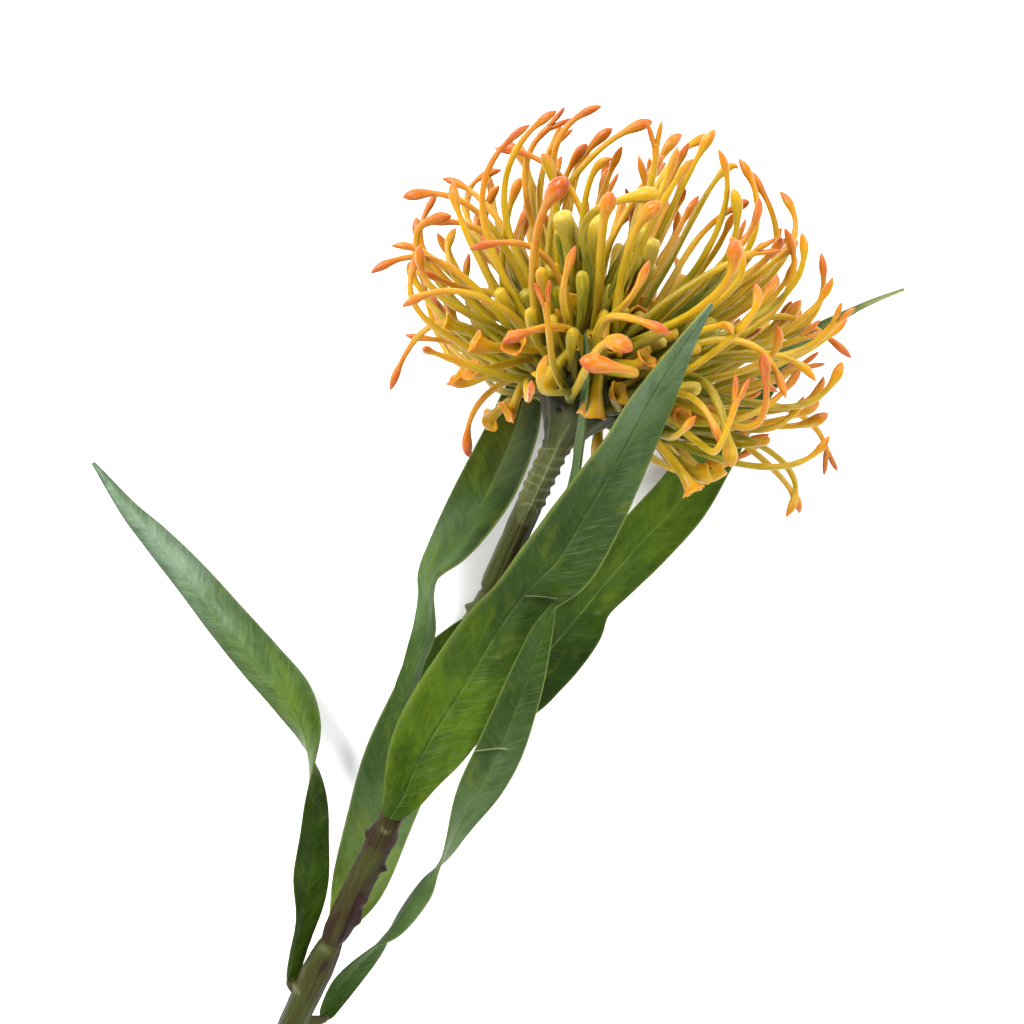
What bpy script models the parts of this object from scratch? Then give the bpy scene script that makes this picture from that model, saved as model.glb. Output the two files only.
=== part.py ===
"""A cut pincushion protea lying on a flat surface.

Lengths in this script are millimetres until a mesh is made. The stem runs along +Y from its
cut end to the flower head, +X is to its right and +Z is up from the surface at z = 0.
Every piece that grew on its own is one closed object: the stem with its cup, each leaf, and
each sprig of the head, which is a stalk with a perianth and one or more long styles.
"""

import functools
import math
import random

import bmesh
import bpy
import numpy as np

MM = 0.001

# The origin moves from the stem's cut end to the middle of the flower's footprint.
FOOTPRINT_CENTRE = (-19.0, 132.0)

# Stem: its centre line from the cut end to the rim of the cup
STEM_LINE = [
    (0, 0, 3.9),
    (-0.5, 50, 14.7),
    (-1.1, 85, 21.8),
    (-1.0, 118, 28.6),
    (-0.4, 155, 36.2),
    (-0.5, 185, 42.4),
    (0, 202, 46),
]
# Its radius at a distance from the cut end
STEM_PROFILE = [
    (0, 3.9),
    (48, 3.9),
    (60, 4.2),
    (69, 4.0),
    (71, 3.75),
    (73, 4.15),
    (98, 4.2),
    (102, 4.8),
    (104, 3.6),
    (148, 3.0),
    (152, 3.4),
    (156, 2.8),
    (163, 2.75),
    (190, 2.8),
    (193, 3.5),
    (196.5, 5.2),
    (199.5, 7.5),
    (202, 9.4),
]
STEM_SIDES = 12
STEM_STEP = 6.0
NECK_FROM = 165
NECK_RINGS = 10
NECK_RING_PITCH = 2.5
NECK_RING_HEIGHT = 0.3
DOME_RADIUS = 9.4
DOME_STEPS = 4

# Head: leans up from the surface with the stem, and is a ball of styles on the cup's dome
HEAD_TILT = math.radians(12)
RIM = np.array((0.0, 202.0, 46.0))
ALONG = np.array((0.0, math.cos(HEAD_TILT), math.sin(HEAD_TILT)))
ACROSS = np.array((1.0, 0.0, 0.0))
UPWARD = np.array((0.0, -math.sin(HEAD_TILT), math.cos(HEAD_TILT)))
BALL_CENTRE = 13.0
BALL_RADIUS = 49.0
SPRIGS = 50
SPRIG_SPREAD = math.radians(93)
GOLDEN_ANGLE = math.pi * (3 - math.sqrt(5))

STALK_RADIUS = 1.1
STYLE_RADIUS = 0.75
SPINDLE_RADIUS = 1.2
FORK_RADIUS = 0.72
MOUTH_RADIUS = 2.5
PERIANTH_REACH = (20, 26)
LEAVING_LENGTH = 9
FORK_LEAN = 0.3
GAP = 0.3
CLEAR = 0.4
FLOOR_PRESS = 0.8
SEED = 11
# Arcs are planned at this many points, and keep some of them as sections
PLAN_STEPS = 41
MAIN_PICKS = [0, 6, 13, 20, 26, 32, 35, 37, 39, 40]
BRANCH_PICKS = [0, 8, 16, 24, 32, 35, 37, 40]
PERIANTH_STEPS = 13
PERIANTH_PICKS = [0, 6, 10, 12]
STYLE_SIDES = 5
# The first points of a branch may touch the sprig that it grows from
JOINED_FOR = 7
PERIANTH_JOINED_FOR = 5
FREE_OF_CUP_FROM = 4
MOST_STYLES = 3
NEAREST = 12
STYLE_TRIES = 70
PERIANTH_TRIES = 60
MOST_LOOSE = 3
UNDERSIDE = -0.6

# Styles that give the head its outline: where the tip lies across, along and above the rim's
# centre, and how far the arc bows to the left of the line from the dome to the tip
SHOWN_STYLES = [
    # left side, arching over and outwards
    (-51, 26, 8, -8),
    (-50, 14, -2, -3),
    (-51, 8, 6, -8),
    (-41, 7, 22, -8),
    (-38, -15, -4, -11),
    (-17, -23, -12, -7),
    (-46, 31, -8, -5),
    (-46, 22, 2, -6),
    (-45, 28, -14, 10),
    # crown, from left to right
    (-30, 56, 10, 10),
    (-32, 51, 15, 10),
    (-26, 55, -4, 8),
    (-25, 52, -11, 6),
    (-20, 60, 2, 7),
    (-18, 55, -10, 6),
    (-37, 44, -14, -2),
    (-38, 42, 0, -11),
    (-10, 62, 16, -3),
    (-2, 64, -6, 6),
    (-10, 61, -2, 10),
    (-3, 60, -16, 2),
    (3, 65, 4, 1),
    (5, 62, 14, -7),
    (10, 61, -4, -10),
    (13, 60, -14, -12),
    (20, 58, -12, -9),
    (24, 53, -2, -10),
    (28, 53, 6, -7),
    (34, 50, -6, -7),
    # right side, sweeping out and turning up
    (38, 47, 4, -5),
    (40, 44, 12, -4),
    (44, 41, 2, -4),
    (51, 28, -10, 7),
    (47, 32, 8, -7),
    (50, 19, -6, -3),
    (51, 17, 10, -7),
    (56, 5, -18, 5),
    (54, -4, -10, 6),
    (50, -7, 2, 9),
    (43, 27, 16, 6),
    (39, 21, 24, 8),
    (34, 5, 26, 9),
    (30, 9, 30, 7),
    # upper side, hooking over
    (-33, 24, 26, -10),
    (-19, 11, 36, -8),
    (-2, 14, 40, -11),
    (11, 27, 42, 7),
    (7, 18, 39, 1),
    (-20, 46, 34, 4),
    (-11, 47, 32, 0),
    (-1, 49, 34, 2),
    (15, 48, 30, -5),
    (11, 56, 14, -4),
    (-4, 52, 26, 4),
    (1, 59, 22, 1),
    (-25, 37, 30, -5),
]
# Perianths that show below the styles: where the mouth lies
SHOWN_PERIANTHS = [
    (3, 4, 15),
    (7, 8, 16),
    (-8, 4, 13),
    (-13, -9, -5),
    (30, -6, 8),
    (29, -3, 3),
    (33, -2, -5),
    (-32, 4, 2),
    (-29, 1, 8),
    (-23, -1, 11),
    (-26, -6, -2),
    (-16, -14, -14),
    (9, -10, -14),
    (-25, 5, 14),
    (-17, 9, 18),
]
# The cup's upper face is bare: nothing hangs this near in front of it
BARE_BELOW = 1
BARE_ABOVE = -4
BARE_HALF_WIDTH = 17
# Styles under the head that lie along the surface and carry it
RESTING_STYLES = [
    (-34, 22, -46, 5),
    (-22, 14, -50, 4),
    (-10, 24, -52, 3),
    (-1, 6, -48, 0),
    (10, 16, -51, -2),
    (16, 30, -52, -4),
    (27, 26, -50, -1),
    (14, -2, -46, 0),
]
OTHER_STYLES = 150
APART_FROM_SHOWN = math.radians(10)
OTHER_SPREAD = math.radians(108)

# Leaves: where each is attached (distance along the stem, angle round it from the right side,
# upwards positive), then its centre line with the width and the roll in degrees, right edge up
LEAF_THICKNESS = 0.7
LEAF_EDGE = 0.3
LEAF_KEEL = 0.12
LEAF_STEPS = 15
# A leaf's base is moved out by this step until these first sections clear the stem
SEAT_STEP = 0.05
SEATED = 3
HALVES = (0, 0.25, 0.5, 0.75)
LEAVES = {
    "leaf_left": (
        (58, 183, 4.5, -62),
        [
            (-7.3, 65, 15.5, 8, -55),
            (-8.5, 73, 15.5, 9.5, -48),
            (-11.5, 82, 15, 10.5, -38),
            (-15.5, 93.5, 15, 10.5, -52),
            (-20, 104, 14, 11, -88),
            (-24.5, 110.5, 12, 11.5, -124),
            (-31.5, 116, 10, 12.5, -148),
            (-41.5, 120.5, 7.5, 12.5, -151),
            (-52.5, 125.5, 5.5, 11.5, -152),
            (-64, 131, 3.4, 9.5, -157),
            (-75.5, 136, 1.7, 7, -165),
            (-84, 139.5, 0.8, 4.5, -170),
            (-96, 146, 0.3, 0.9, -175),
        ],
    ),
    "leaf_front": (
        (103.5, 86, 4.5, -10),
        [
            (0.2, 108, 32.6, 9, -14),
            (0.3, 114, 33.8, 13.5, -18),
            (0.8, 120, 35.4, 17, -18),
            (1.6, 127, 37, 18.5, -16),
            (3, 137, 39, 18.5, -15),
            (4.8, 150, 42.5, 17.5, -22),
            (7, 160, 46, 16, -32),
            (10, 169, 50, 17, -18),
            (11.5, 179.5, 55.5, 16.5, -24),
            (12.4, 188.5, 61, 14.5, -27),
            (13.2, 197, 67, 12.5, -32),
            (13.5, 205, 73, 11, -34),
            (14, 211.5, 77.5, 9, -38),
            (14.8, 220, 83, 5, -42),
            (16.2, 229, 88, 0.9, -45),
        ],
    ),
    "leaf_right": (
        (52, -35, 3.5, -25),
        [
            (5.6, 61.5, 11.5, 6.5, -32),
            (9, 71.5, 11.5, 6.5, -62),
            (11.4, 79.5, 13.5, 6.5, -118),
            (13.5, 89.5, 17, 7, -122),
            (14.8, 96.7, 20, 7.5, -84),
            (15, 104.7, 23.5, 8.5, -58),
            (15.1, 115, 29, 10.5, -27),
            (15.4, 125.5, 34.5, 11, -20),
            (14.8, 136, 39.5, 9.5, -14),
            (14, 145, 43.5, 7.5, -4),
            (13, 154.5, 47, 4.5, 0),
            (13, 160.5, 49, 0.9, 0),
        ],
    ),
    "leaf_left_back": (
        (114, 160, 4, 68),
        [
            (-8.6, 127, 20.5, 7.5, 52),
            (-9.6, 135, 17.5, 9, 58),
            (-10.5, 142, 15.5, 9, 52),
            (-13.5, 150, 13.5, 9, 66),
            (-14.5, 155, 12, 10, 56),
            (-13, 162, 10, 13, 42),
            (-11.7, 170.5, 8.3, 14, 28),
            (-10.8, 180, 6.3, 14, 17),
            (-10.8, 191, 4.4, 12.5, 14),
            (-11.8, 200.5, 2.6, 9.5, 8),
            (-12.2, 209.5, 1.2, 6, 5),
            (-10.6, 219, 0.4, 0.9, 4),
        ],
    ),
    "leaf_right_back": (
        (129, -25, 4, -66),
        [
            (11.3, 137, 20, 16, -24),
            (16, 147, 15.6, 17, -14),
            (19.6, 158, 12.5, 15.5, -14),
            (21.2, 164, 10.8, 11.5, -16),
            (23.4, 171, 9, 12.8, -18),
            (26.8, 181, 7, 14.5, -20),
            (30.8, 193, 5.5, 14, -17),
            (33, 205, 4, 12, -15),
            (34.3, 214, 3, 10.6, -12),
            (36.7, 225, 1.5, 8, -4),
            (41, 237, 0.8, 4.5, -6),
            (47.5, 246.5, 2.2, 2.2, -20),
            (52.5, 252.5, 3, 1.4, -30),
            (58, 258, 4, 0.8, -30),
        ],
    ),
    "leaf_young": (
        (150, 10, 2.5, 70),
        [
            (4.6, 161, 41, 4, 72),
            (6.2, 173, 45.8, 5.6, 74),
            (6.5, 181, 49.6, 6.4, 76),
            (5.5, 187.5, 53.6, 7, 78),
            (3.9, 193, 57.5, 6.8, 78),
            (2, 199, 62, 6, 78),
            (-1.2, 207.5, 67.5, 4.2, 78),
            (-4.5, 214.5, 71.5, 0.9, 78),
        ],
    ),
    "leaf_low_back": (
        (72, -90, 4.5, 0),
        [
            (-0.8, 83, 9.5, 12, 0),
            (-2.3, 98, 5, 15, -4),
            (-3.5, 110.5, 2.9, 16.5, -3),
            (-3.9, 121, 2.2, 16, -1),
            (-3.8, 132.5, 1.9, 14, 0),
            (-1.5, 143, 1.3, 9.5, 0),
            (2.6, 155.5, 0.6, 0.9, 0),
        ],
    ),
}


def clear_scene():
    for old in list(bpy.data.objects):
        bpy.data.objects.remove(old, do_unlink=True)


def material(name, colour, roughness):
    made = bpy.data.materials.new(name)
    made.use_nodes = True
    surface = made.node_tree.nodes["Principled BSDF"]
    surface.inputs["Base Color"].default_value = (*colour, 1)
    surface.inputs["Roughness"].default_value = roughness
    made.diffuse_color = (*colour, 1)
    return made


def smooth_line(points, steps):
    """A Catmull-Rom curve through rows of numbers, read at evenly spaced parameters."""
    rows = np.array(points, float)
    rows = np.vstack((2 * rows[0] - rows[1], rows, 2 * rows[-1] - rows[-2]))
    spans = len(points) - 1
    read = []
    for place in np.linspace(0, spans, steps):
        i = min(int(place), spans - 1)
        t = place - i
        a, b, c, d = rows[i : i + 4]
        bend = 2 * a - 5 * b + 4 * c - d
        read.append(b + 0.5 * t * (c - a + t * (bend + t * (3 * (b - c) + d - a))))
    return np.array(read)


def unit(v):
    return v / np.linalg.norm(v)


def directions(line):
    return np.array([unit(v) for v in np.gradient(line, axis=0)])


def side_vectors(line):
    """Two vectors across a line at each point, carried along it without twist."""
    ways = directions(line)
    first = np.cross(ways[0], (0.0, 0.0, 1.0))
    if np.linalg.norm(first) < 0.1:
        first = np.cross(ways[0], (0.0, 1.0, 0.0))
    side = unit(first)
    pairs = []
    for way in ways:
        side = unit(side - way * np.dot(side, way))
        pairs.append((side, np.cross(side, way)))
    return pairs


def skin(rings, pointed):
    """A closed bmesh over a row of equal rings; the last ring is one point if pointed."""
    made = bmesh.new()
    rows = [[made.verts.new(p) for p in ring] for ring in rings]
    point = rows.pop()[0] if pointed else None
    count = len(rows[0])
    for low, high in zip(rows, rows[1:]):
        for i in range(count):
            j = (i + 1) % count
            made.faces.new((low[i], low[j], high[j], high[i]))
    made.faces.new(rows[0][::-1])
    if pointed:
        for i in range(count):
            made.faces.new((rows[-1][i], rows[-1][(i + 1) % count], point))
    else:
        made.faces.new(rows[-1])
    bmesh.ops.recalc_face_normals(made, faces=made.faces)
    bmesh.ops.triangulate(made, faces=made.faces)
    return made


def object_from(made, name):
    """Turns a bmesh in millimetres from the cut end into an object in metres."""
    shift = np.array((*FOOTPRINT_CENTRE, 0.0))
    for vert in made.verts:
        vert.co = (np.array(vert.co) - shift) * MM
        vert.co.z = max(vert.co.z, 0)
    mesh = bpy.data.meshes.new(name)
    made.to_mesh(mesh)
    made.free()
    mesh.shade_smooth()
    placed = bpy.data.objects.new(name, mesh)
    bpy.context.scene.collection.objects.link(placed)
    return placed


def circle(centre, pair, radius, sides, start=0.0):
    ring = []
    for k in range(sides):
        angle = start + 2 * math.pi * k / sides
        ring.append(centre + radius * (math.cos(angle) * pair[0] + math.sin(angle) * pair[1]))
    return ring


def tube(line, radii, sides, pointed):
    pairs = side_vectors(line)
    rings = [circle(p, pair, r, sides) for p, pair, r in zip(line, pairs, radii)]
    if pointed:
        rings[-1] = [line[-1]]
    return skin(rings, pointed)


@functools.lru_cache
def stem_line():
    return smooth_line(STEM_LINE, 400)


def stem_point(distance):
    """The stem's centre, direction and radius at a distance from its cut end."""
    line = stem_line()
    ys = line[:, 1]
    centre = np.array([np.interp(distance, ys, line[:, k]) for k in range(3)])
    ahead = np.array([np.interp(distance + 1, ys, line[:, k]) for k in range(3)])
    behind = np.array([np.interp(distance - 1, ys, line[:, k]) for k in range(3)])
    radius = np.interp(distance, *zip(*STEM_PROFILE))
    return centre, unit(ahead - behind), radius


def make_stem():
    """The woody stem, its ribbed neck and the cup whose dome carries the sprigs."""
    stations = {float(place) for place, _ in STEM_PROFILE}
    stations |= {s for s in np.arange(0, NECK_FROM, STEM_STEP)}
    rib_height = {}
    for k in range(NECK_RINGS):
        middle = NECK_FROM + (k + 0.5) * NECK_RING_PITCH
        for offset, height in ((-0.6, 0), (0, NECK_RING_HEIGHT), (0.6, 0)):
            rib_height[middle + offset] = height
    stations = {s for s in stations if not NECK_FROM < s < NECK_FROM + 25}
    places = sorted(stations | set(rib_height))
    rings = []
    for place in places:
        centre, way, radius = stem_point(place)
        if place > 198:
            way = ALONG
        side = unit(np.cross(way, (0.0, 0.0, 1.0)))
        pair = (side, np.cross(side, way))
        rings.append(circle(centre, pair, radius + rib_height.get(place, 0), STEM_SIDES))
    for k in range(1, DOME_STEPS):
        angle = 0.5 * math.pi * k / DOME_STEPS
        centre = RIM + ALONG * DOME_RADIUS * math.sin(angle)
        rings.append(circle(centre, (ACROSS, UPWARD), DOME_RADIUS * math.cos(angle), STEM_SIDES))
    rings.append([RIM + ALONG * DOME_RADIUS])
    stem = object_from(skin(rings, True), "stem")
    stem.data.materials.append(material("stem", (0.16, 0.13, 0.07), 0.55))


def leaf_section(width):
    """Outline of a blade across its width: the upper side, then the lower one back."""
    keel = LEAF_KEEL * width
    thick = min(LEAF_THICKNESS, 0.4 * width)
    edge = min(LEAF_EDGE, 0.3 * width)
    places = [(-1, 0, edge), (-0.5, -0.6, thick), (0, -1, thick), (0.5, -0.6, thick), (1, 0, edge)]
    upper = [(width / 2 * a, keel * b + t / 2) for a, b, t in places]
    lower = [(width / 2 * a, keel * b - t / 2) for a, b, t in places]
    return upper + lower[::-1]


def carried(line, rolls):
    """Vectors across a blade and out of its upper face, turned by its roll."""
    frames = []
    for way, roll in zip(directions(line), rolls):
        side = unit(np.cross(way, (0.0, 0.0, 1.0)))
        up = np.cross(side, way)
        across = math.cos(roll) * side + math.sin(roll) * up
        frames.append((across, math.cos(roll) * up - math.sin(roll) * side))
    return frames


def blade_rows(start, name, steps):
    """Centres, frames and widths along a leaf whose base has its middle at start."""
    (_, _, width, roll), stations = LEAVES[name]
    rows = smooth_line([(*start, width, roll)] + stations, steps)
    return rows[:, :3], carried(rows[:, :3], np.radians(rows[:, 4])), rows[:, 3]


def blade_ring(centre, frame, width):
    return [centre + frame[0] * a + frame[1] * b for a, b in leaf_section(width)]


def off_the_stem(points):
    """The smallest distance from points to the bark."""
    axis = stem_line()
    apart = np.linalg.norm(np.array(points)[:, None] - axis[None], axis=2)
    nearest = apart.argmin(axis=1)
    radii = np.interp(axis[nearest, 1], *zip(*STEM_PROFILE))
    return (apart.min(axis=1) - radii).min()


@functools.lru_cache
def leaf_start(name):
    """The middle of a leaf's base, moved out until the blade clears the bark by the gap."""
    (place, angle, _, _), _ = LEAVES[name]
    centre, way, distance = stem_point(place)
    side = unit(np.cross(way, (0.0, 0.0, 1.0)))
    turn = math.radians(angle)
    out = math.cos(turn) * side + math.sin(turn) * np.cross(side, way)
    clear = False
    while not clear:
        distance += SEAT_STEP
        line, frames, widths = blade_rows(centre + out * distance, name, LEAF_STEPS)
        rings = [blade_ring(*row) for row in zip(line[:SEATED], frames, widths)]
        outline = [p + (q - p) * t for r in rings for p, q in zip(r, r[1:] + r[:1]) for t in HALVES]
        clear = off_the_stem(outline) >= GAP
    return tuple(centre + out * distance)


def leaf_frame(name, steps):
    return blade_rows(leaf_start(name), name, steps)


def make_leaf(name, finish):
    """A long blade folded a little along its midrib, thick there and thin at its edges."""
    line, frames, widths = leaf_frame(name, LEAF_STEPS)
    rings = [blade_ring(*row) for row in zip(line, frames, widths)]
    leaf = object_from(skin(rings, False), name)
    leaf.data.materials.append(finish)


def head_point(across, along, above):
    return RIM + across * ACROSS + along * ALONG + above * UPWARD


def head_direction(polar, azimuth):
    flat = math.cos(azimuth) * ACROSS + math.sin(azimuth) * UPWARD
    return math.cos(polar) * ALONG + math.sin(polar) * flat


def spiral(count, spread):
    """Directions spaced evenly over a cap of the head, in a sunflower spiral."""
    made = []
    for k in range(count):
        polar = math.acos(1 - (1 - math.cos(spread)) * (k + 0.5) / count)
        made.append(head_direction(polar, k * GOLDEN_ANGLE))
    return made


def wanted_styles(rng):
    """Tip and bow of every style: those that show, then others that fill the ball."""
    wanted = []
    middle = head_point(0, BALL_CENTRE, 0)
    for across, along, above, bow in SHOWN_STYLES + RESTING_STYLES:
        tip = head_point(across, along, above)
        chord = unit(tip - RIM)
        left = unit(np.cross(UPWARD, chord))
        wanted.append((tip, left * bow, 0.25))
    shown = [unit(tip - middle) for tip, _, _ in wanted]
    for way in spiral(OTHER_STYLES, OTHER_SPREAD):
        if max(np.dot(way, other) for other in shown) > math.cos(APART_FROM_SHOWN):
            continue
        reach = rng.uniform(0, 4) if way[2] < UNDERSIDE else rng.uniform(-10, 0)
        tip = middle + way * (BALL_RADIUS + reach)
        chord = unit(tip - RIM)
        inward = ALONG - chord * np.dot(ALONG, chord)
        bow = -inward * rng.uniform(2, 6)
        wanted.append((tip, bow, 1.0))
    return wanted


def style_line(start, way, tip, bow, sway, steps):
    """An arc that leaves start along way and runs through its bowed middle to tip."""
    middle = 0.5 * (start + tip) + bow
    leaving = start + way * LEAVING_LENGTH
    arriving = (8 * middle - start - 3 * leaving - tip) / 3
    t = np.linspace(0, 1, steps)[:, None]
    line = (1 - t) ** 3 * start + 3 * t * (1 - t) ** 2 * leaving
    line += 3 * t**2 * (1 - t) * arriving + t**3 * tip
    return line + np.sin(2 * math.pi * t) * t * sway


def style_radii(steps, stalk):
    """Thick at the stalk, slender along the arc, with a pointed spindle at the tip."""
    t = np.linspace(0, 1, steps)
    places = (0, 0.15, 0.3, 0.8, 0.87, 0.93, 0.97, 1)
    sizes = (stalk, 0.95, STYLE_RADIUS, 0.66, 0.72, SPINDLE_RADIUS, 0.85, 0.1)
    return np.interp(t, places, sizes)


def above_floor(line, radii):
    """Lifts whatever would reach below the surface, so that it lies pressed on it."""
    lifted = line.copy()
    lifted[:, 2] = np.maximum(line[:, 2], FLOOR_PRESS * radii)
    return lifted


class Room:
    """The space that is already taken, as balls along every piece."""

    def __init__(self):
        self.points = np.empty((0, 3))
        self.radii = np.empty(0)
        self.owners = np.empty(0, int)

    def take(self, points, radii, owner):
        self.points = np.vstack((self.points, points))
        self.radii = np.concatenate((self.radii, radii))
        self.owners = np.concatenate((self.owners, np.full(len(radii), owner)))

    def leave(self, owner):
        kept = self.owners != owner
        self.points, self.radii = self.points[kept], self.radii[kept]
        self.owners = self.owners[kept]

    def free(self, points, radii, owner, joined_for):
        """Whether an arc is clear; its first few points may touch its own sprig."""
        apart = np.linalg.norm(points[:, None] - self.points[None], axis=2)
        apart -= radii[:, None] + self.radii[None]
        apart[:joined_for, self.owners == owner] = np.inf
        return apart.min() > CLEAR


def off_the_cup(points, radii):
    """True where an arc keeps clear of the dome and leaves the face of the cup bare."""
    places = points - RIM
    apart = np.linalg.norm(places - 0.2 * ALONG, axis=1)
    over_face = (places @ ALONG < BARE_BELOW) & (places @ UPWARD > BARE_ABOVE)
    over_face &= abs(places[:, 0]) < BARE_HALF_WIDTH
    return (apart - radii - DOME_RADIUS).min() > GAP and not over_face.any()


def room_with_leaves_and_stem():
    room = Room()
    for name in LEAVES:
        line, frames, widths = leaf_frame(name, 60)
        for part in np.linspace(-1, 1, 9):
            keel = LEAF_KEEL * (1 - abs(part))
            sides = np.array([side * part / 2 - up * keel for side, up in frames])
            room.take(line + sides * widths[:, None], np.full(60, 0.75), -1)
    for place in np.arange(150, 198, 1.0):
        centre, _, radius = stem_point(place)
        room.take(centre[None], np.array([radius]), -1)
    return room


def plan_style(rng, room, owner, start, way, tip, bow, looseness, stalk):
    """Draws an arc again, more loosely each time, until it is clear of everything."""
    radii = style_radii(PLAN_STEPS, stalk)
    for attempt in range(STYLE_TRIES):
        loose = min(looseness * (0.3 + 0.1 * attempt), MOST_LOOSE)
        shift = np.array([rng.gauss(0, loose) for _ in range(3)])
        bend = np.array([rng.gauss(0, loose) for _ in range(3)])
        sway = np.array([rng.gauss(0, 0.5 + 0.02 * attempt) for _ in range(3)])
        line = style_line(start, way, tip + shift, bow + bend, sway, PLAN_STEPS)
        line = above_floor(line, radii)
        clear = off_the_cup(line[FREE_OF_CUP_FROM:], radii[FREE_OF_CUP_FROM:])
        if clear and room.free(line, radii, owner, JOINED_FOR):
            return line, radii
    return None


def plan_perianth(rng, room, owner, line, mouth):
    """A short trumpet that leaves the stalk and ends in a flared mouth."""
    place = rng.choice((4, 5, 6))
    root = line[place]
    way = unit(line[place + 1] - root)
    t = np.linspace(0, 1, PERIANTH_STEPS)
    radii = np.interp(t, (0, 0.55, 0.82, 1), (0.7, 0.8, 1.7, MOUTH_RADIUS))
    for attempt in range(PERIANTH_TRIES):
        loose = 0.1 + 0.08 * attempt
        end = mouth + np.array([rng.gauss(0, loose) for _ in range(3)])
        bend = np.array([rng.gauss(0, 0.8) for _ in range(3)])
        path = style_line(root, 0.3 * way, end, bend, np.zeros(3), PERIANTH_STEPS)
        path = above_floor(path, radii)
        clear = off_the_cup(path[FREE_OF_CUP_FROM:], radii[FREE_OF_CUP_FROM:])
        if clear and room.free(path, radii, owner, PERIANTH_JOINED_FOR):
            return path, radii
    return None


def plan_head():
    """Where every sprig stands, and the arcs of its styles and its perianth."""
    rng = random.Random(SEED)
    room = room_with_leaves_and_stem()
    bases = spiral(SPRIGS, SPRIG_SPREAD)
    starts = [RIM + 0.2 * ALONG + way * (DOME_RADIUS + GAP) for way in bases]
    sprigs = [[] for _ in bases]
    shown_mouths = [head_point(*place) for place in SHOWN_PERIANTHS]
    for i, mouth in enumerate(shown_mouths):
        held = RIM + (mouth - RIM) * np.linspace(0.55, 1, 6)[:, None]
        room.take(held, np.linspace(1, MOUTH_RADIUS, 6), SPRIGS + i)
    for tip, bow, looseness in wanted_styles(rng):
        early = unit(0.5 * (RIM + tip) + bow - RIM)
        order = sorted(range(SPRIGS), key=lambda k: -np.dot(bases[k], early))
        for k in order[:NEAREST]:
            if not sprigs[k]:
                start, way, stalk = starts[k], bases[k], STALK_RADIUS
            elif len(sprigs[k]) < MOST_STYLES:
                carrier = sprigs[k][0][0]
                place = 5 + 2 * len(sprigs[k])
                start, stalk = carrier[place], FORK_RADIUS
                onward = unit(carrier[place + 1] - start)
                way = unit(unit(tip + bow - start) + FORK_LEAN * onward)
            else:
                continue
            found = plan_style(rng, room, k, start, way, tip, bow, looseness, stalk)
            if found:
                sprigs[k].append(found)
                room.take(*found, k)
                break
    perianths = [None] * SPRIGS
    mouths = {}
    for i, mouth in enumerate(shown_mouths):
        room.leave(SPRIGS + i)
        early = unit(mouth - RIM)
        free = [k for k in range(SPRIGS) if sprigs[k] and k not in mouths]
        mouths[max(free, key=lambda k: np.dot(bases[k], early))] = mouth
    for k in sorted(range(SPRIGS), key=lambda k: k not in mouths):
        if sprigs[k]:
            reach = rng.uniform(*PERIANTH_REACH)
            mouth = mouths.get(k, RIM + bases[k] * reach)
            perianths[k] = plan_perianth(rng, room, k, sprigs[k][0][0], mouth)
            if perianths[k]:
                room.take(*perianths[k], k)
    return sprigs, perianths


def thinned(line, radii, picks):
    return line[picks], radii[picks]


def volume(mesh):
    made = bmesh.new()
    made.from_mesh(mesh)
    size = made.calc_volume(signed=True)
    made.free()
    return size


def joined(parts, name):
    """One closed body from shapes that run into each other."""
    objects = [object_from(part, name + "_part") for part in parts]
    body = objects[0]
    largest = max(volume(each.data) for each in objects)
    for crosses_itself in (False, True):
        body.modifiers.clear()
        for other in objects[1:]:
            union = body.modifiers.new("join", "BOOLEAN")
            union.operation = "UNION"
            union.solver = "EXACT"
            union.use_self = crosses_itself
            union.object = other
        evaluated = body.evaluated_get(bpy.context.evaluated_depsgraph_get())
        mesh = bpy.data.meshes.new_from_object(evaluated)
        if volume(mesh) > largest:
            break
    mesh.name = name
    for old in objects:
        bpy.data.objects.remove(old, do_unlink=True)
    placed = bpy.data.objects.new(name, mesh)
    bpy.context.scene.collection.objects.link(placed)
    return placed


def make_sprigs():
    styled = material("floret", (0.80, 0.38, 0.04), 0.45)
    sprigs, perianths = plan_head()
    print("styles", sum(len(s) for s in sprigs), "perianths", sum(p is not None for p in perianths))
    for k, (styles, perianth) in enumerate(zip(sprigs, perianths)):
        if not styles:
            continue
        parts = [tube(*thinned(*styles[0], MAIN_PICKS), 5, True)]
        parts += [tube(*thinned(*style, BRANCH_PICKS), 5, True) for style in styles[1:]]
        if perianth:
            parts.append(tube(*thinned(*perianth, PERIANTH_PICKS), 5, False))
        sprig = joined(parts, f"sprig_{k + 1:02d}")
        sprig.data.materials.clear()
        sprig.data.materials.append(styled)


def main():
    clear_scene()
    make_stem()
    leaf_finish = material("leaf", (0.05, 0.16, 0.04), 0.4)
    for name in LEAVES:
        make_leaf(name, leaf_finish)
    make_sprigs()


main()
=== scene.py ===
"""How a cut pincushion protea looks, lying on a pale surface and seen from above.

Lengths are millimetres in the flower's own frame until a mesh is made: the stem runs along +Y
from its cut end, +X is to its right and +Z is up from the surface. The arcs of the head are
planned as the CAD plans them, so every piece lies where its CAD node does.
"""

import functools
import itertools
import math
import random

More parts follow.
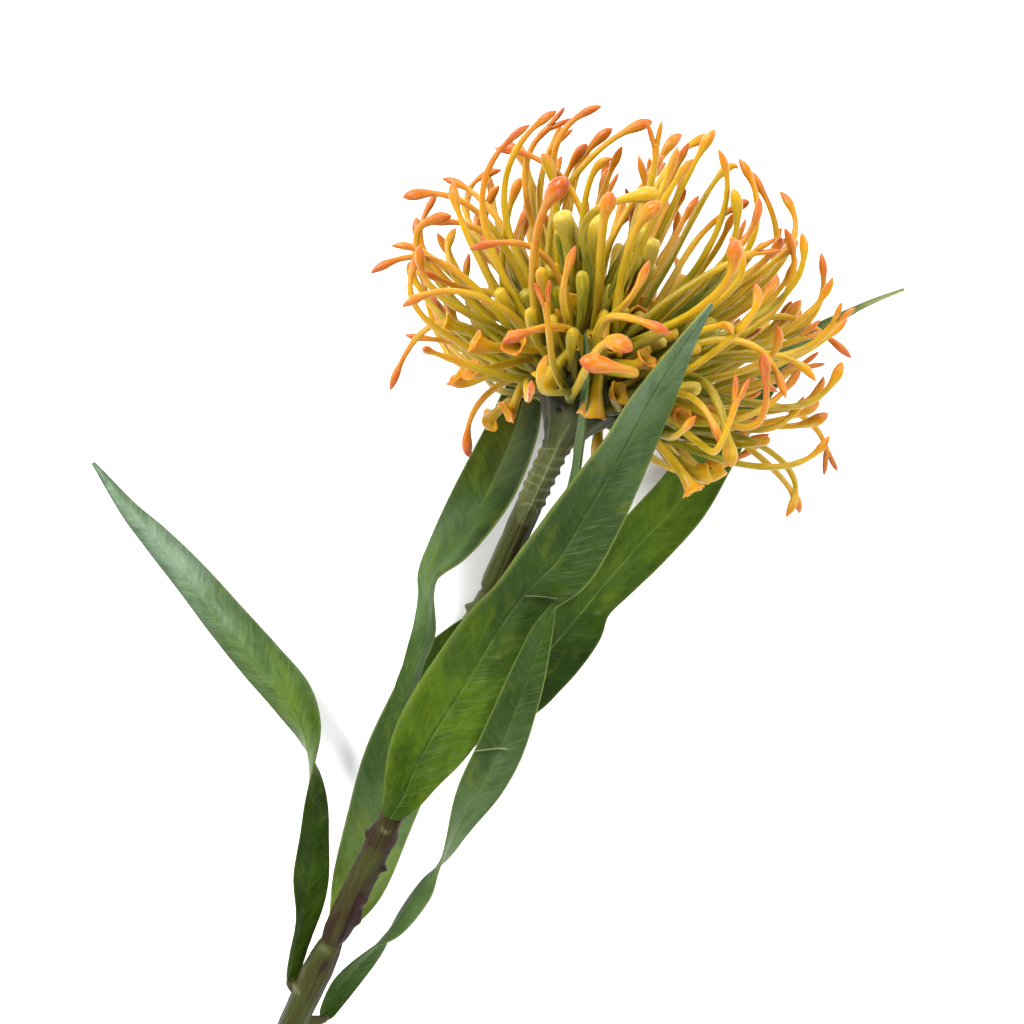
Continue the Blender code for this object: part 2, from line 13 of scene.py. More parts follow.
import bpy
import numpy as np
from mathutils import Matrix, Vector


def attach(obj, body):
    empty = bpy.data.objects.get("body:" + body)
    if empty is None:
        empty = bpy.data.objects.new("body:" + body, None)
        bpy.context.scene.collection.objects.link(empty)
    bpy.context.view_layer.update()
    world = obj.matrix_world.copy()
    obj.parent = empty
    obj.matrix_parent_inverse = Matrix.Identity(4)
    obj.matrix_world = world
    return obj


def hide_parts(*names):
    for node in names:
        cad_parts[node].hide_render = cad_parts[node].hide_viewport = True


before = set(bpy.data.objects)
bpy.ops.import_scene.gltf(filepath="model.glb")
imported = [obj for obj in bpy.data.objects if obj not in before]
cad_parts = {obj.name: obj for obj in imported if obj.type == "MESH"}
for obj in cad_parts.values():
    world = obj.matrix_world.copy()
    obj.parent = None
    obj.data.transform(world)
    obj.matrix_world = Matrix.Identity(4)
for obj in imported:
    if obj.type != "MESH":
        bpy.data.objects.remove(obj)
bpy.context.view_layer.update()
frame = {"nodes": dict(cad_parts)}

MM = 0.001

# The origin moves from the stem's cut end to the middle of the flower's footprint.
FOOTPRINT_CENTRE = (-19.0, 132.0)

# Stem: its centre line from the cut end to the rim of the cup
STEM_LINE = [
    (0, 0, 3.9),
    (-0.5, 50, 14.7),
    (-1.1, 85, 21.8),
    (-1.0, 118, 28.6),
    (-0.4, 155, 36.2),
    (-0.5, 185, 42.4),
    (0, 202, 46),
]
# Its radius at a distance from the cut end
STEM_PROFILE = [
    (0, 3.9),
    (48, 3.9),
    (60, 4.2),
    (69, 4.0),
    (71, 3.75),
    (73, 4.15),
    (98, 4.2),
    (102, 4.8),
    (104, 3.6),
    (148, 3.0),
    (152, 3.4),
    (156, 2.8),
    (163, 2.75),
    (190, 2.8),
    (193, 3.5),
    (196.5, 5.2),
    (199.5, 7.5),
    (202, 9.4),
]
# The dome's middle lies a little beyond the rim
DOME_RADIUS = 9.4
DOME_LIFT = 0.2

# Head: leans up from the surface with the stem, and is a ball of styles on the cup's dome
HEAD_TILT = math.radians(12)
RIM = np.array((0.0, 202.0, 46.0))
ALONG = np.array((0.0, math.cos(HEAD_TILT), math.sin(HEAD_TILT)))
ACROSS = np.array((1.0, 0.0, 0.0))
UPWARD = np.array((0.0, -math.sin(HEAD_TILT), math.cos(HEAD_TILT)))
BALL_CENTRE = 13.0
BALL_RADIUS = 49.0
# Sprigs stand on the dome in a sunflower spiral that reaches this far round it
SPRIGS = 50
SPRIG_SPREAD = math.radians(93)
GOLDEN_ANGLE = math.pi * (3 - math.sqrt(5))

# Radii of a style at its stalk, along it and at its tip, of a fork, and of a perianth's mouth
STALK_RADIUS = 1.1
STYLE_RADIUS = 0.75
SPINDLE_RADIUS = 1.2
FORK_RADIUS = 0.72
MOUTH_RADIUS = 2.5
PERIANTH_REACH = (20, 26)
LEAVING_LENGTH = 9
# A sprig's second and third style fork from points of its first, and a perianth from one of these
FORKS_FROM = (7, 9)
PERIANTHS_FROM = (4, 5, 6)
FORK_LEAN = 0.3
# The least distance from the bark and the dome, and between arcs
GAP = 0.3
CLEAR = 0.4
FLOOR_PRESS = 0.8
SEED = 11
# Arcs are planned at this many points
PLAN_STEPS = 41
PERIANTH_STEPS = 13
# The first points of a branch may touch the sprig that it grows from
JOINED_FOR = 7
PERIANTH_JOINED_FOR = 5
FREE_OF_CUP_FROM = 4
# A style is offered to this many of the nearest sprigs
NEAREST = 12
STYLE_TRIES = 70
PERIANTH_TRIES = 60
MOST_LOOSE = 3
# Directions that point further down than this belong to the underside
UNDERSIDE = -0.6
# A perianth that shows holds its room with this many balls, from this share of its length on
HOLDING_BALLS = 6
HOLDING_FROM = 0.55

# Styles that give the head its outline: where the tip lies across, along and above the rim's
# centre, and how far the arc bows to the left of the line from the dome to the tip
SHOWN_STYLES = [
    # left side, arching over and outwards
    (-51, 26, 8, -8),
    (-50, 14, -2, -3),
    (-51, 8, 6, -8),
    (-41, 7, 22, -8),
    (-38, -15, -4, -11),
    (-17, -23, -12, -7),
    (-46, 31, -8, -5),
    (-46, 22, 2, -6),
    (-45, 28, -14, 10),
    # crown, from left to right
    (-30, 56, 10, 10),
    (-32, 51, 15, 10),
    (-26, 55, -4, 8),
    (-25, 52, -11, 6),
    (-20, 60, 2, 7),
    (-18, 55, -10, 6),
    (-37, 44, -14, -2),
    (-38, 42, 0, -11),
    (-10, 62, 16, -3),
    (-2, 64, -6, 6),
    (-10, 61, -2, 10),
    (-3, 60, -16, 2),
    (3, 65, 4, 1),
    (5, 62, 14, -7),
    (10, 61, -4, -10),
    (13, 60, -14, -12),
    (20, 58, -12, -9),
    (24, 53, -2, -10),
    (28, 53, 6, -7),
    (34, 50, -6, -7),
    # right side, sweeping out and turning up
    (38, 47, 4, -5),
    (40, 44, 12, -4),
    (44, 41, 2, -4),
    (51, 28, -10, 7),
    (47, 32, 8, -7),
    (50, 19, -6, -3),
    (51, 17, 10, -7),
    (56, 5, -18, 5),
    (54, -4, -10, 6),
    (50, -7, 2, 9),
    (43, 27, 16, 6),
    (39, 21, 24, 8),
    (34, 5, 26, 9),
    (30, 9, 30, 7),
    # upper side, hooking over
    (-33, 24, 26, -10),
    (-19, 11, 36, -8),
    (-2, 14, 40, -11),
    (11, 27, 42, 7),
    (7, 18, 39, 1),
    (-20, 46, 34, 4),
    (-11, 47, 32, 0),
    (-1, 49, 34, 2),
    (15, 48, 30, -5),
    (11, 56, 14, -4),
    (-4, 52, 26, 4),
    (1, 59, 22, 1),
    (-25, 37, 30, -5),
]
# Perianths that show below the styles: where the mouth lies
SHOWN_PERIANTHS = [
    (3, 4, 15),
    (7, 8, 16),
    (-8, 4, 13),
    (-13, -9, -5),
    (30, -6, 8),
    (29, -3, 3),
    (33, -2, -5),
    (-32, 4, 2),
    (-29, 1, 8),
    (-23, -1, 11),
    (-26, -6, -2),
    (-16, -14, -14),
    (9, -10, -14),
    (-25, 5, 14),
    (-17, 9, 18),
]
# The cup's upper face is bare: nothing hangs this near in front of it
BARE_BELOW = 1
BARE_ABOVE = -4
BARE_HALF_WIDTH = 17
# Styles under the head that lie along the surface and carry it
RESTING_STYLES = [
    (-34, 22, -46, 5),
    (-22, 14, -50, 4),
    (-10, 24, -52, 3),
    (-1, 6, -48, 0),
    (10, 16, -51, -2),
    (16, 30, -52, -4),
    (27, 26, -50, -1),
    (14, -2, -46, 0),
]
# The others: how many, how far from those above, and how far they reach past the ball or bow
OTHER_STYLES = 150
APART_FROM_SHOWN = math.radians(10)
OTHER_SPREAD = math.radians(108)
OTHER_REACH = (-10, 0)
UNDERSIDE_REACH = (0, 4)
OTHER_BOW = (2, 6)
# How freely a shown tip and any other may move to find room
SHOWN_LOOSENESS = 0.25
OTHER_LOOSENESS = 1.0

# Leaves: where each is attached (distance along the stem, angle round it from the right side,
# upwards positive), then its centre line with the width and the roll in degrees, right edge up
LEAF_THICKNESS = 0.7
LEAF_EDGE = 0.3
LEAF_KEEL = 0.12
LEAF_STEPS = 15
# A leaf's base is moved out by this step until its first sections, read at each quarter of
# each of their sides, clear the stem
SEAT_STEP = 0.05
SEATED = 3
QUARTERS = (0, 0.25, 0.5, 0.75)
LEAVES = {
    "leaf_left": (
        (58, 183, 4.5, -62),
        [
            (-7.3, 65, 15.5, 8, -55),
            (-8.5, 73, 15.5, 9.5, -48),
            (-11.5, 82, 15, 10.5, -38),
            (-15.5, 93.5, 15, 10.5, -52),
            (-20, 104, 14, 11, -88),
            (-24.5, 110.5, 12, 11.5, -124),
            (-31.5, 116, 10, 12.5, -148),
            (-41.5, 120.5, 7.5, 12.5, -151),
            (-52.5, 125.5, 5.5, 11.5, -152),
            (-64, 131, 3.4, 9.5, -157),
            (-75.5, 136, 1.7, 7, -165),
            (-84, 139.5, 0.8, 4.5, -170),
            (-96, 146, 0.3, 0.9, -175),
        ],
    ),
    "leaf_front": (
        (103.5, 86, 4.5, -10),
        [
            (0.2, 108, 32.6, 9, -14),
            (0.3, 114, 33.8, 13.5, -18),
            (0.8, 120, 35.4, 17, -18),
            (1.6, 127, 37, 18.5, -16),
            (3, 137, 39, 18.5, -15),
            (4.8, 150, 42.5, 17.5, -22),
            (7, 160, 46, 16, -32),
            (10, 169, 50, 17, -18),
            (11.5, 179.5, 55.5, 16.5, -24),
            (12.4, 188.5, 61, 14.5, -27),
            (13.2, 197, 67, 12.5, -32),
            (13.5, 205, 73, 11, -34),
            (14, 211.5, 77.5, 9, -38),
            (14.8, 220, 83, 5, -42),
            (16.2, 229, 88, 0.9, -45),
        ],
    ),
    "leaf_right": (
        (52, -35, 3.5, -25),
        [
            (5.6, 61.5, 11.5, 6.5, -32),
            (9, 71.5, 11.5, 6.5, -62),
            (11.4, 79.5, 13.5, 6.5, -118),
            (13.5, 89.5, 17, 7, -122),
            (14.8, 96.7, 20, 7.5, -84),
            (15, 104.7, 23.5, 8.5, -58),
            (15.1, 115, 29, 10.5, -27),
            (15.4, 125.5, 34.5, 11, -20),
            (14.8, 136, 39.5, 9.5, -14),
            (14, 145, 43.5, 7.5, -4),
            (13, 154.5, 47, 4.5, 0),
            (13, 160.5, 49, 0.9, 0),
        ],
    ),
    "leaf_left_back": (
        (114, 160, 4, 68),
        [
            (-8.6, 127, 20.5, 7.5, 52),
            (-9.6, 135, 17.5, 9, 58),
            (-10.5, 142, 15.5, 9, 52),
            (-13.5, 150, 13.5, 9, 66),
            (-14.5, 155, 12, 10, 56),
            (-13, 162, 10, 13, 42),
            (-11.7, 170.5, 8.3, 14, 28),
            (-10.8, 180, 6.3, 14, 17),
            (-10.8, 191, 4.4, 12.5, 14),
            (-11.8, 200.5, 2.6, 9.5, 8),
            (-12.2, 209.5, 1.2, 6, 5),
            (-10.6, 219, 0.4, 0.9, 4),
        ],
    ),
    "leaf_right_back": (
        (129, -25, 4, -66),
        [
            (11.3, 137, 20, 16, -24),
            (16, 147, 15.6, 17, -14),
            (19.6, 158, 12.5, 15.5, -14),
            (21.2, 164, 10.8, 11.5, -16),
            (23.4, 171, 9, 12.8, -18),
            (26.8, 181, 7, 14.5, -20),
            (30.8, 193, 5.5, 14, -17),
            (33, 205, 4, 12, -15),
            (34.3, 214, 3, 10.6, -12),
            (36.7, 225, 1.5, 8, -4),
            (41, 237, 0.8, 4.5, -6),
            (47.5, 246.5, 2.2, 2.2, -20),
            (52.5, 252.5, 3, 1.4, -30),
            (58, 258, 4, 0.8, -30),
        ],
    ),
    "leaf_young": (
        (150, 10, 2.5, 70),
        [
            (4.6, 161, 41, 4, 72),
            (6.2, 173, 45.8, 5.6, 74),
            (6.5, 181, 49.6, 6.4, 76),
            (5.5, 187.5, 53.6, 7, 78),
            (3.9, 193, 57.5, 6.8, 78),
            (2, 199, 62, 6, 78),
            (-1.2, 207.5, 67.5, 4.2, 78),
            (-4.5, 214.5, 71.5, 0.9, 78),
        ],
    ),
    "leaf_low_back": (
        (72, -90, 4.5, 0),
        [
            (-0.8, 83, 9.5, 12, 0),
            (-2.3, 98, 5, 15, -4),
            (-3.5, 110.5, 2.9, 16.5, -3),
            (-3.9, 121, 2.2, 16, -1),
            (-3.8, 132.5, 1.9, 14, 0),
            (-1.5, 143, 1.3, 9.5, 0),
            (2.6, 155.5, 0.6, 0.9, 0),
        ],
    ),
}


def curve(points, places):
    """A Catmull-Rom curve through rows of numbers, read at places from 0 to the last row."""
    rows = np.vstack((2 * points[0] - points[1], points, 2 * points[-1] - points[-2]))
    i = np.minimum(places.astype(int), len(points) - 2)
    t = (places - i)[:, None]
    a, b, c, d = rows[i], rows[i + 1], rows[i + 2], rows[i + 3]
    bend = 2 * a - 5 * b + 4 * c - d
    return b + 0.5 * t * (c - a + t * (bend + t * (3 * (b - c) + d - a)))


def smooth_line(points, steps):
    """A curve through rows of numbers, read at evenly spaced places."""
    return curve(np.array(points, float), np.linspace(0, len(points) - 1, steps))


def refined(line, at):
    """A curve through the points of a line, read where asked from 0 to 1."""
    return curve(line, at * (len(line) - 1))


def unit(v):
    return v / np.linalg.norm(v)


def directions(line):
    return np.array([unit(v) for v in np.gradient(line, axis=0)])


def side_vectors(line):
    """Two vectors across a line at each point, carried along it without twist."""
    ways = directions(line)
    first = np.cross(ways[0], (0.0, 0.0, 1.0))
    if np.linalg.norm(first) < 0.1:
        first = np.cross(ways[0], (0.0, 1.0, 0.0))
    side = unit(first)
    sides, ups = [], []
    for way in ways:
        side = unit(side - way * np.dot(side, way))
        sides.append(side)
        ups.append(np.cross(side, way))
    return np.array(sides), np.array(ups)


def read(table, at):
    return np.interp(at, *zip(*table))


@functools.lru_cache
def stem_line():
    return smooth_line(STEM_LINE, 400)


def stem_point(distance):
    """The stem's centre, direction and radius at a distance from its cut end."""
    line = stem_line()
    behind, centre, ahead = (
        np.array([np.interp(place, line[:, 1], line[:, k]) for k in range(3)])
        for place in (distance - 1, distance, distance + 1)
    )
    return centre, unit(ahead - behind), read(STEM_PROFILE, distance)


def leaf_section(width):
    """Outline of a blade across its width: the upper side, then the lower one back."""
    keel = LEAF_KEEL * width
    thick = min(LEAF_THICKNESS, 0.4 * width)
    edge = min(LEAF_EDGE, 0.3 * width)
    places = [(-1, 0, edge), (-0.5, -0.6, thick), (0, -1, thick), (0.5, -0.6, thick), (1, 0, edge)]
    upper = [(width / 2 * a, keel * b + t / 2) for a, b, t in places]
    lower = [(width / 2 * a, keel * b - t / 2) for a, b, t in places]
    return upper + lower[::-1]


def carried(line, rolls):
    """Vectors across a blade and out of its upper face, turned by its roll."""
    frames = []
    for way, roll in zip(directions(line), rolls):
        side = unit(np.cross(way, (0.0, 0.0, 1.0)))
        up = np.cross(side, way)
        across = math.cos(roll) * side + math.sin(roll) * up
        frames.append((across, math.cos(roll) * up - math.sin(roll) * side))
    return frames


def blade_rows(start, name, steps):
    """Centres, frames and widths along a leaf whose base has its middle at start."""
    (_, _, width, roll), stations = LEAVES[name]
    rows = smooth_line([(*start, width, roll)] + stations, steps)
    return rows[:, :3], carried(rows[:, :3], np.radians(rows[:, 4])), rows[:, 3]


def blade_ring(centre, frame, width):
    return [centre + frame[0] * a + frame[1] * b for a, b in leaf_section(width)]


def off_the_stem(points):
    """The smallest distance from points to the bark."""
    axis = stem_line()
    apart = np.linalg.norm(np.array(points)[:, None] - axis[None], axis=2)
    nearest = apart.argmin(axis=1)
    radii = read(STEM_PROFILE, axis[nearest, 1])
    return (apart.min(axis=1) - radii).min()


@functools.lru_cache
def leaf_start(name):
    """The middle of a leaf's base, moved out until the blade clears the bark by the gap."""
    (place, angle, _, _), _ = LEAVES[name]
    centre, way, distance = stem_point(place)
    side = unit(np.cross(way, (0.0, 0.0, 1.0)))
    turn = math.radians(angle)
    out = math.cos(turn) * side + math.sin(turn) * np.cross(side, way)
    clear = False
    while not clear:
        distance += SEAT_STEP
        line, frames, widths = blade_rows(centre + out * distance, name, LEAF_STEPS)
        rings = [blade_ring(*row) for row in zip(line[:SEATED], frames, widths)]
        outline = [p + (q - p) * t for r in rings for p, q in zip(r, r[1:] + r[:1]) for t in QUARTERS]
        clear = off_the_stem(outline) >= GAP
    return tuple(centre + out * distance)


def leaf_frame(name, steps):
    return blade_rows(leaf_start(name), name, steps)


def head_point(across, along, above):
    return RIM + across * ACROSS + along * ALONG + above * UPWARD


def head_direction(polar, azimuth):
    flat = math.cos(azimuth) * ACROSS + math.sin(azimuth) * UPWARD
    return math.cos(polar) * ALONG + math.sin(polar) * flat


def spiral(count, spread):
    """Directions spaced evenly over a cap of the head, in a sunflower spiral."""
    made = []
    for k in range(count):
        polar = math.acos(1 - (1 - math.cos(spread)) * (k + 0.5) / count)
        made.append(head_direction(polar, k * GOLDEN_ANGLE))
    return made


def drift(rng, amount):
    """A random vector."""
    return np.array([rng.gauss(0, amount) for _ in range(3)])


def dome_start(way):
    """Where what grows from the dome in a direction begins."""
    return RIM + DOME_LIFT * ALONG + way * (DOME_RADIUS + GAP)


def outward_bow(rng, tip, least, most):
    """A bow away from the head's middle line."""
    chord = unit(tip - RIM)
    inward = ALONG - chord * np.dot(ALONG, chord)
    return -inward * rng.uniform(least, most)


def first_way(tip, bow):
    """The direction in which a bowed arc sets out for its tip."""
    return unit(0.5 * (RIM + tip) + bow - RIM)


def wanted_styles(rng):
    """Tip, bow and looseness of every style: those that show, then others that fill the ball."""
    wanted = []
    middle = head_point(0, BALL_CENTRE, 0)
    for across, along, above, bow in SHOWN_STYLES + RESTING_STYLES:
        tip = head_point(across, along, above)
        chord = unit(tip - RIM)
        left = unit(np.cross(UPWARD, chord))
        wanted.append((tip, left * bow, SHOWN_LOOSENESS))
    shown = [unit(tip - middle) for tip, _, _ in wanted]
    for way in spiral(OTHER_STYLES, OTHER_SPREAD):
        if max(np.dot(way, other) for other in shown) > math.cos(APART_FROM_SHOWN):
            continue
        reach = rng.uniform(*(UNDERSIDE_REACH if way[2] < UNDERSIDE else OTHER_REACH))
        tip = middle + way * (BALL_RADIUS + reach)
        wanted.append((tip, outward_bow(rng, tip, *OTHER_BOW), OTHER_LOOSENESS))
    return wanted


def style_line(start, way, tip, bow, sway, steps):
    """An arc that leaves start along way and runs through its bowed middle to tip."""
    middle = 0.5 * (start + tip) + bow
    leaving = start + way * LEAVING_LENGTH
    arriving = (8 * middle - start - 3 * leaving - tip) / 3
    t = np.linspace(0, 1, steps)[:, None]
    line = (1 - t) ** 3 * start + 3 * t * (1 - t) ** 2 * leaving
    line += 3 * t**2 * (1 - t) * arriving + t**3 * tip
    return line + np.sin(2 * math.pi * t) * t * sway


def style_radii(stalk):
    """Thick at the stalk, slender along the arc, with a pointed spindle at the tip."""
    places = (0, 0.15, 0.3, 0.8, 0.87, 0.93, 0.97, 1)
    sizes = (stalk, 0.95, STYLE_RADIUS, 0.66, 0.72, SPINDLE_RADIUS, 0.85, 0.1)
    return np.interp(np.linspace(0, 1, PLAN_STEPS), places, sizes)


def floret_radii(places, sizes):
    """Radii of a short floret, given at places from 0 to 1 along it."""
    return np.interp(np.linspace(0, 1, PERIANTH_STEPS), places, sizes)


def above_floor(line, radii):
    """Lifts whatever would reach below the surface, so that it lies pressed on it."""
    lifted = line.copy()
    lifted[:, 2] = np.maximum(line[:, 2], FLOOR_PRESS * radii)
    return lifted


# The owner of room that no branch may touch
NOBODY = -1


class Room:
    """The space that is already taken, as balls along every piece."""

    def __init__(self):
        self.points = np.empty((0, 3))
        self.radii = np.empty(0)
        self.owners = np.empty(0, int)

    def take(self, points, radii, owner=NOBODY):
        self.points = np.vstack((self.points, points))
        self.radii = np.concatenate((self.radii, radii))
        self.owners = np.concatenate((self.owners, np.full(len(radii), owner)))

    def leave(self, owner):
        kept = self.owners != owner
        self.points, self.radii = self.points[kept], self.radii[kept]
        self.owners = self.owners[kept]

    def free(self, points, radii, owner=NOBODY, joined_for=0):
        """Whether an arc is clear; its first few points may touch its own sprig."""
        reach = (self.radii + radii.max() + CLEAR)[:, None]
        near = (self.points > points.min(axis=0) - reach) & (self.points < points.max(axis=0) + reach)
        near = near.all(axis=1)
        if not near.any():
            return True
        apart = np.linalg.norm(points[:, None] - self.points[near][None], axis=2)
        apart -= radii[:, None] + self.radii[near][None]
        apart[:joined_for, self.owners[near] == owner] = np.inf
        return apart.min() > CLEAR


def off_the_cup(line, radii):
    """True where an arc, once it has left, keeps off the dome and the bare face of the cup."""
    places, radii = line[FREE_OF_CUP_FROM:] - RIM, radii[FREE_OF_CUP_FROM:]
    apart = np.linalg.norm(places - DOME_LIFT * ALONG, axis=1)
    over_face = (places @ ALONG < BARE_BELOW) & (places @ UPWARD > BARE_ABOVE)
    over_face &= abs(places[:, 0]) < BARE_HALF_WIDTH
    return (apart - radii - DOME_RADIUS).min() > GAP and not over_face.any()


# Leaves and the stem take room as balls: so many along and across a blade, and at these distances
BLADE_BALLS = 60, 9
BLADE_BALL_RADIUS = 0.75
STEM_BALLS = np.arange(150, 198, 1.0)


def room_with_leaves_and_stem():
    room = Room()
    steps, rows = BLADE_BALLS
    for name in LEAVES:
        line, frames, widths = leaf_frame(name, steps)
        for part in np.linspace(-1, 1, rows):
            keel = LEAF_KEEL * (1 - abs(part))
            sides = np.array([side * part / 2 - up * keel for side, up in frames])
            room.take(line + sides * widths[:, None], np.full(steps, BLADE_BALL_RADIUS))
    for place in STEM_BALLS:
        centre, _, radius = stem_point(place)
        room.take(centre[None], np.array([radius]))
    return room


def plan_style(rng, room, owner, start, way, tip, bow, looseness, stalk):
    """Draws an arc again, more loosely each time, until it is clear of everything."""
    radii = style_radii(stalk)
    for attempt in range(STYLE_TRIES):
        loose = min(looseness * (0.3 + 0.1 * attempt), MOST_LOOSE)
        shift = drift(rng, loose)
        bend = drift(rng, loose)
        sway = drift(rng, 0.5 + 0.02 * attempt)
        line = style_line(start, way, tip + shift, bow + bend, sway, PLAN_STEPS)
        line = above_floor(line, radii)
        if off_the_cup(line, radii) and room.free(line, radii, owner, JOINED_FOR):
            return line, radii
    return None


def plan_perianth(rng, room, owner, line, mouth):
    """A short trumpet that leaves the stalk and ends in a flared mouth."""
    place = rng.choice(PERIANTHS_FROM)
    root = line[place]
    way = unit(line[place + 1] - root)
    radii = floret_radii((0, 0.55, 0.82, 1), (0.7, 0.8, 1.7, MOUTH_RADIUS))
    for attempt in range(PERIANTH_TRIES):
        end = mouth + drift(rng, 0.1 + 0.08 * attempt)
        bend = drift(rng, 0.8)
        path = style_line(root, 0.3 * way, end, bend, np.zeros(3), PERIANTH_STEPS)
        path = above_floor(path, radii)
        if off_the_cup(path, radii) and room.free(path, radii, owner, PERIANTH_JOINED_FOR):
            return path, radii
    return None


def plan_styles(rng, room, bases):
    """Each sprig's styles: the first grows from the dome, and the others fork from it."""
    sprigs = [[] for _ in bases]
    for tip, bow, looseness in wanted_styles(rng):
        early = first_way(tip, bow)
        order = sorted(range(SPRIGS), key=lambda k: -np.dot(bases[k], early))
        for k in order[:NEAREST]:
            if not sprigs[k]:
                start, way, stalk = dome_start(bases[k]), bases[k], STALK_RADIUS
            elif len(sprigs[k]) <= len(FORKS_FROM):
                carrier = sprigs[k][0][0]
                place = FORKS_FROM[len(sprigs[k]) - 1]
                start, stalk = carrier[place], FORK_RADIUS
                onward = unit(carrier[place + 1] - start)
                way = unit(unit(tip + bow - start) + FORK_LEAN * onward)
            else:
                continue
            found = plan_style(rng, room, k, start, way, tip, bow, looseness, stalk)
            if found:
                sprigs[k].append(found)
                room.take(*found, k)
                break
    return sprigs


def plan_perianths(rng, room, bases, sprigs, shown_mouths):
    """One trumpet for each sprig that stands; those that show are given out first."""
    mouths = {}
    for mouth in shown_mouths:
        early = unit(mouth - RIM)
        free = [k for k in range(SPRIGS) if sprigs[k] and k not in mouths]
        mouths[max(free, key=lambda k: np.dot(bases[k], early))] = mouth
    perianths = [None] * SPRIGS
    for k in sorted(range(SPRIGS), key=lambda k: k not in mouths):
        if sprigs[k]:
            reach = rng.uniform(*PERIANTH_REACH)
            mouth = mouths.get(k, RIM + bases[k] * reach)
            perianths[k] = plan_perianth(rng, room, k, sprigs[k][0][0], mouth)
            if perianths[k]:
                room.take(*perianths[k], k)
    return perianths


def plan_head():
    """Where every sprig stands, and the arcs of its styles and its perianth."""
    rng = random.Random(SEED)
    room = room_with_leaves_and_stem()
    bases = spiral(SPRIGS, SPRIG_SPREAD)
    shown_mouths = [head_point(*place) for place in SHOWN_PERIANTHS]
    # until the styles stand, the perianths that show hold their room
    for i, mouth in enumerate(shown_mouths):
        held = RIM + (mouth - RIM) * np.linspace(HOLDING_FROM, 1, HOLDING_BALLS)[:, None]
        room.take(held, np.linspace(1, MOUTH_RADIUS, HOLDING_BALLS), SPRIGS + i)
    sprigs = plan_styles(rng, room, bases)
    for i in range(len(shown_mouths)):
        room.leave(SPRIGS + i)
    return room, bases, sprigs, plan_perianths(rng, room, bases, sprigs, shown_mouths)


# ---- shapes -------------------------------------------------------------------------------


def placed(name, data):
    """A new object in the scene."""
    made = bpy.data.objects.new(name, data)
    bpy.context.scene.collection.objects.link(made)
    return made


class Shape:
    """Points and faces of one piece, with two vectors at each point that its material reads."""

    def __init__(self):
        self.points, self.faces, self.place, self.grain = [], [], [], []
        self.count = 0

    def add_grid(self, points, place, grain):
        """A closed skin over rings of points, with a fan to the middle of the first and the last."""
        rows, columns = points.shape[:2]
        index = self.count + np.arange(rows * columns).reshape(rows, columns)
        turned = np.roll(index, -1, axis=1)
        quads = np.stack((index[:-1], turned[:-1], turned[1:], index[1:]), axis=-1)
        self.faces.extend(quads.reshape(-1, 4).tolist())
        for kept, values in ((self.points, points), (self.place, place), (self.grain, grain)):
            kept.append(values.reshape(-1, 3))
            kept.extend(values[row].mean(axis=0)[None] for row in (0, -1))
        self.count += rows * columns + 2
        first, last = index[0].tolist(), index[-1].tolist()
        hub = self.count - 2
        self.faces.extend([b, a, hub] for a, b in zip(first, first[1:] + first[:1]))
        hub = self.count - 1
        self.faces.extend([a, b, hub] for a, b in zip(last, last[1:] + last[:1]))

    def add_round(self, points, heat, shade, gone, seed, reach=1.0):
        """A skin whose material reads heat and shade, with a grain that runs round and along it."""
        heat, shade, gone = (np.reshape(v, (-1, 1)) for v in (heat, shade, gone))
        turn = turns(points.shape[1])
        place = triple(heat, shade, 0.0, points.shape[:2])
        grain = triple(gone, reach * np.sin(turn), seed + reach * np.cos(turn), points.shape[:2])
        self.add_grid(points, place, grain)

    def piece(self, name, finish, slot, *nodes):
        shift = np.array((*FOOTPRINT_CENTRE, 0.0))
        points = (np.vstack(self.points) - shift) * MM
        points[:, 2] = np.maximum(points[:, 2], 0)
        mesh = bpy.data.meshes.new(name)
        mesh.from_pydata(points.tolist(), [], self.faces)
        for label, rows in (("place", self.place), ("grain", self.grain)):
            held = mesh.attributes.new(label, "FLOAT_VECTOR", "POINT")
            held.data.foreach_set("vector", np.vstack(rows).astype(np.float32).ravel())
        mesh.shade_smooth()
        mesh.materials.append(finish)
        made = placed(name, mesh)
        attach(made, "root")
        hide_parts(*nodes)


def lengths_along(line):
    steps = np.linalg.norm(np.diff(line, axis=0), axis=1)
    return np.concatenate(((0.0,), np.cumsum(steps)))


def turns(sides):
    """Angles round a ring."""
    return 2 * math.pi * np.arange(sides) / sides


def tube_points(line, radii, sides, flat=1.0, lobes=1.0):
    """Rings round a line; flat squeezes them one way, lobes is a factor for every point."""
    first, second = side_vectors(line)
    a = np.cos(turns(sides))[None, :] * radii[:, None] * lobes
    b = np.sin(turns(sides))[None, :] * radii[:, None] * flat * lobes
    return line[:, None] + a[..., None] * first[:, None] + b[..., None] * second[:, None]


def triple(x, y, z, shape):
    return np.stack([np.broadcast_to(np.asarray(v, float), shape) for v in (x, y, z)], axis=-1)


# ---- florets ------------------------------------------------------------------------------

STYLE_RINGS = 60
STYLE_ROUND = 12
LOBE_RINGS = 16
LOBE_ROUND = 10
TRUMPET_ROUND = 20
BUD_ROUND = 16
# Florets read the noise this far apart, so that no two look alike
SEED_STEP = 7.3
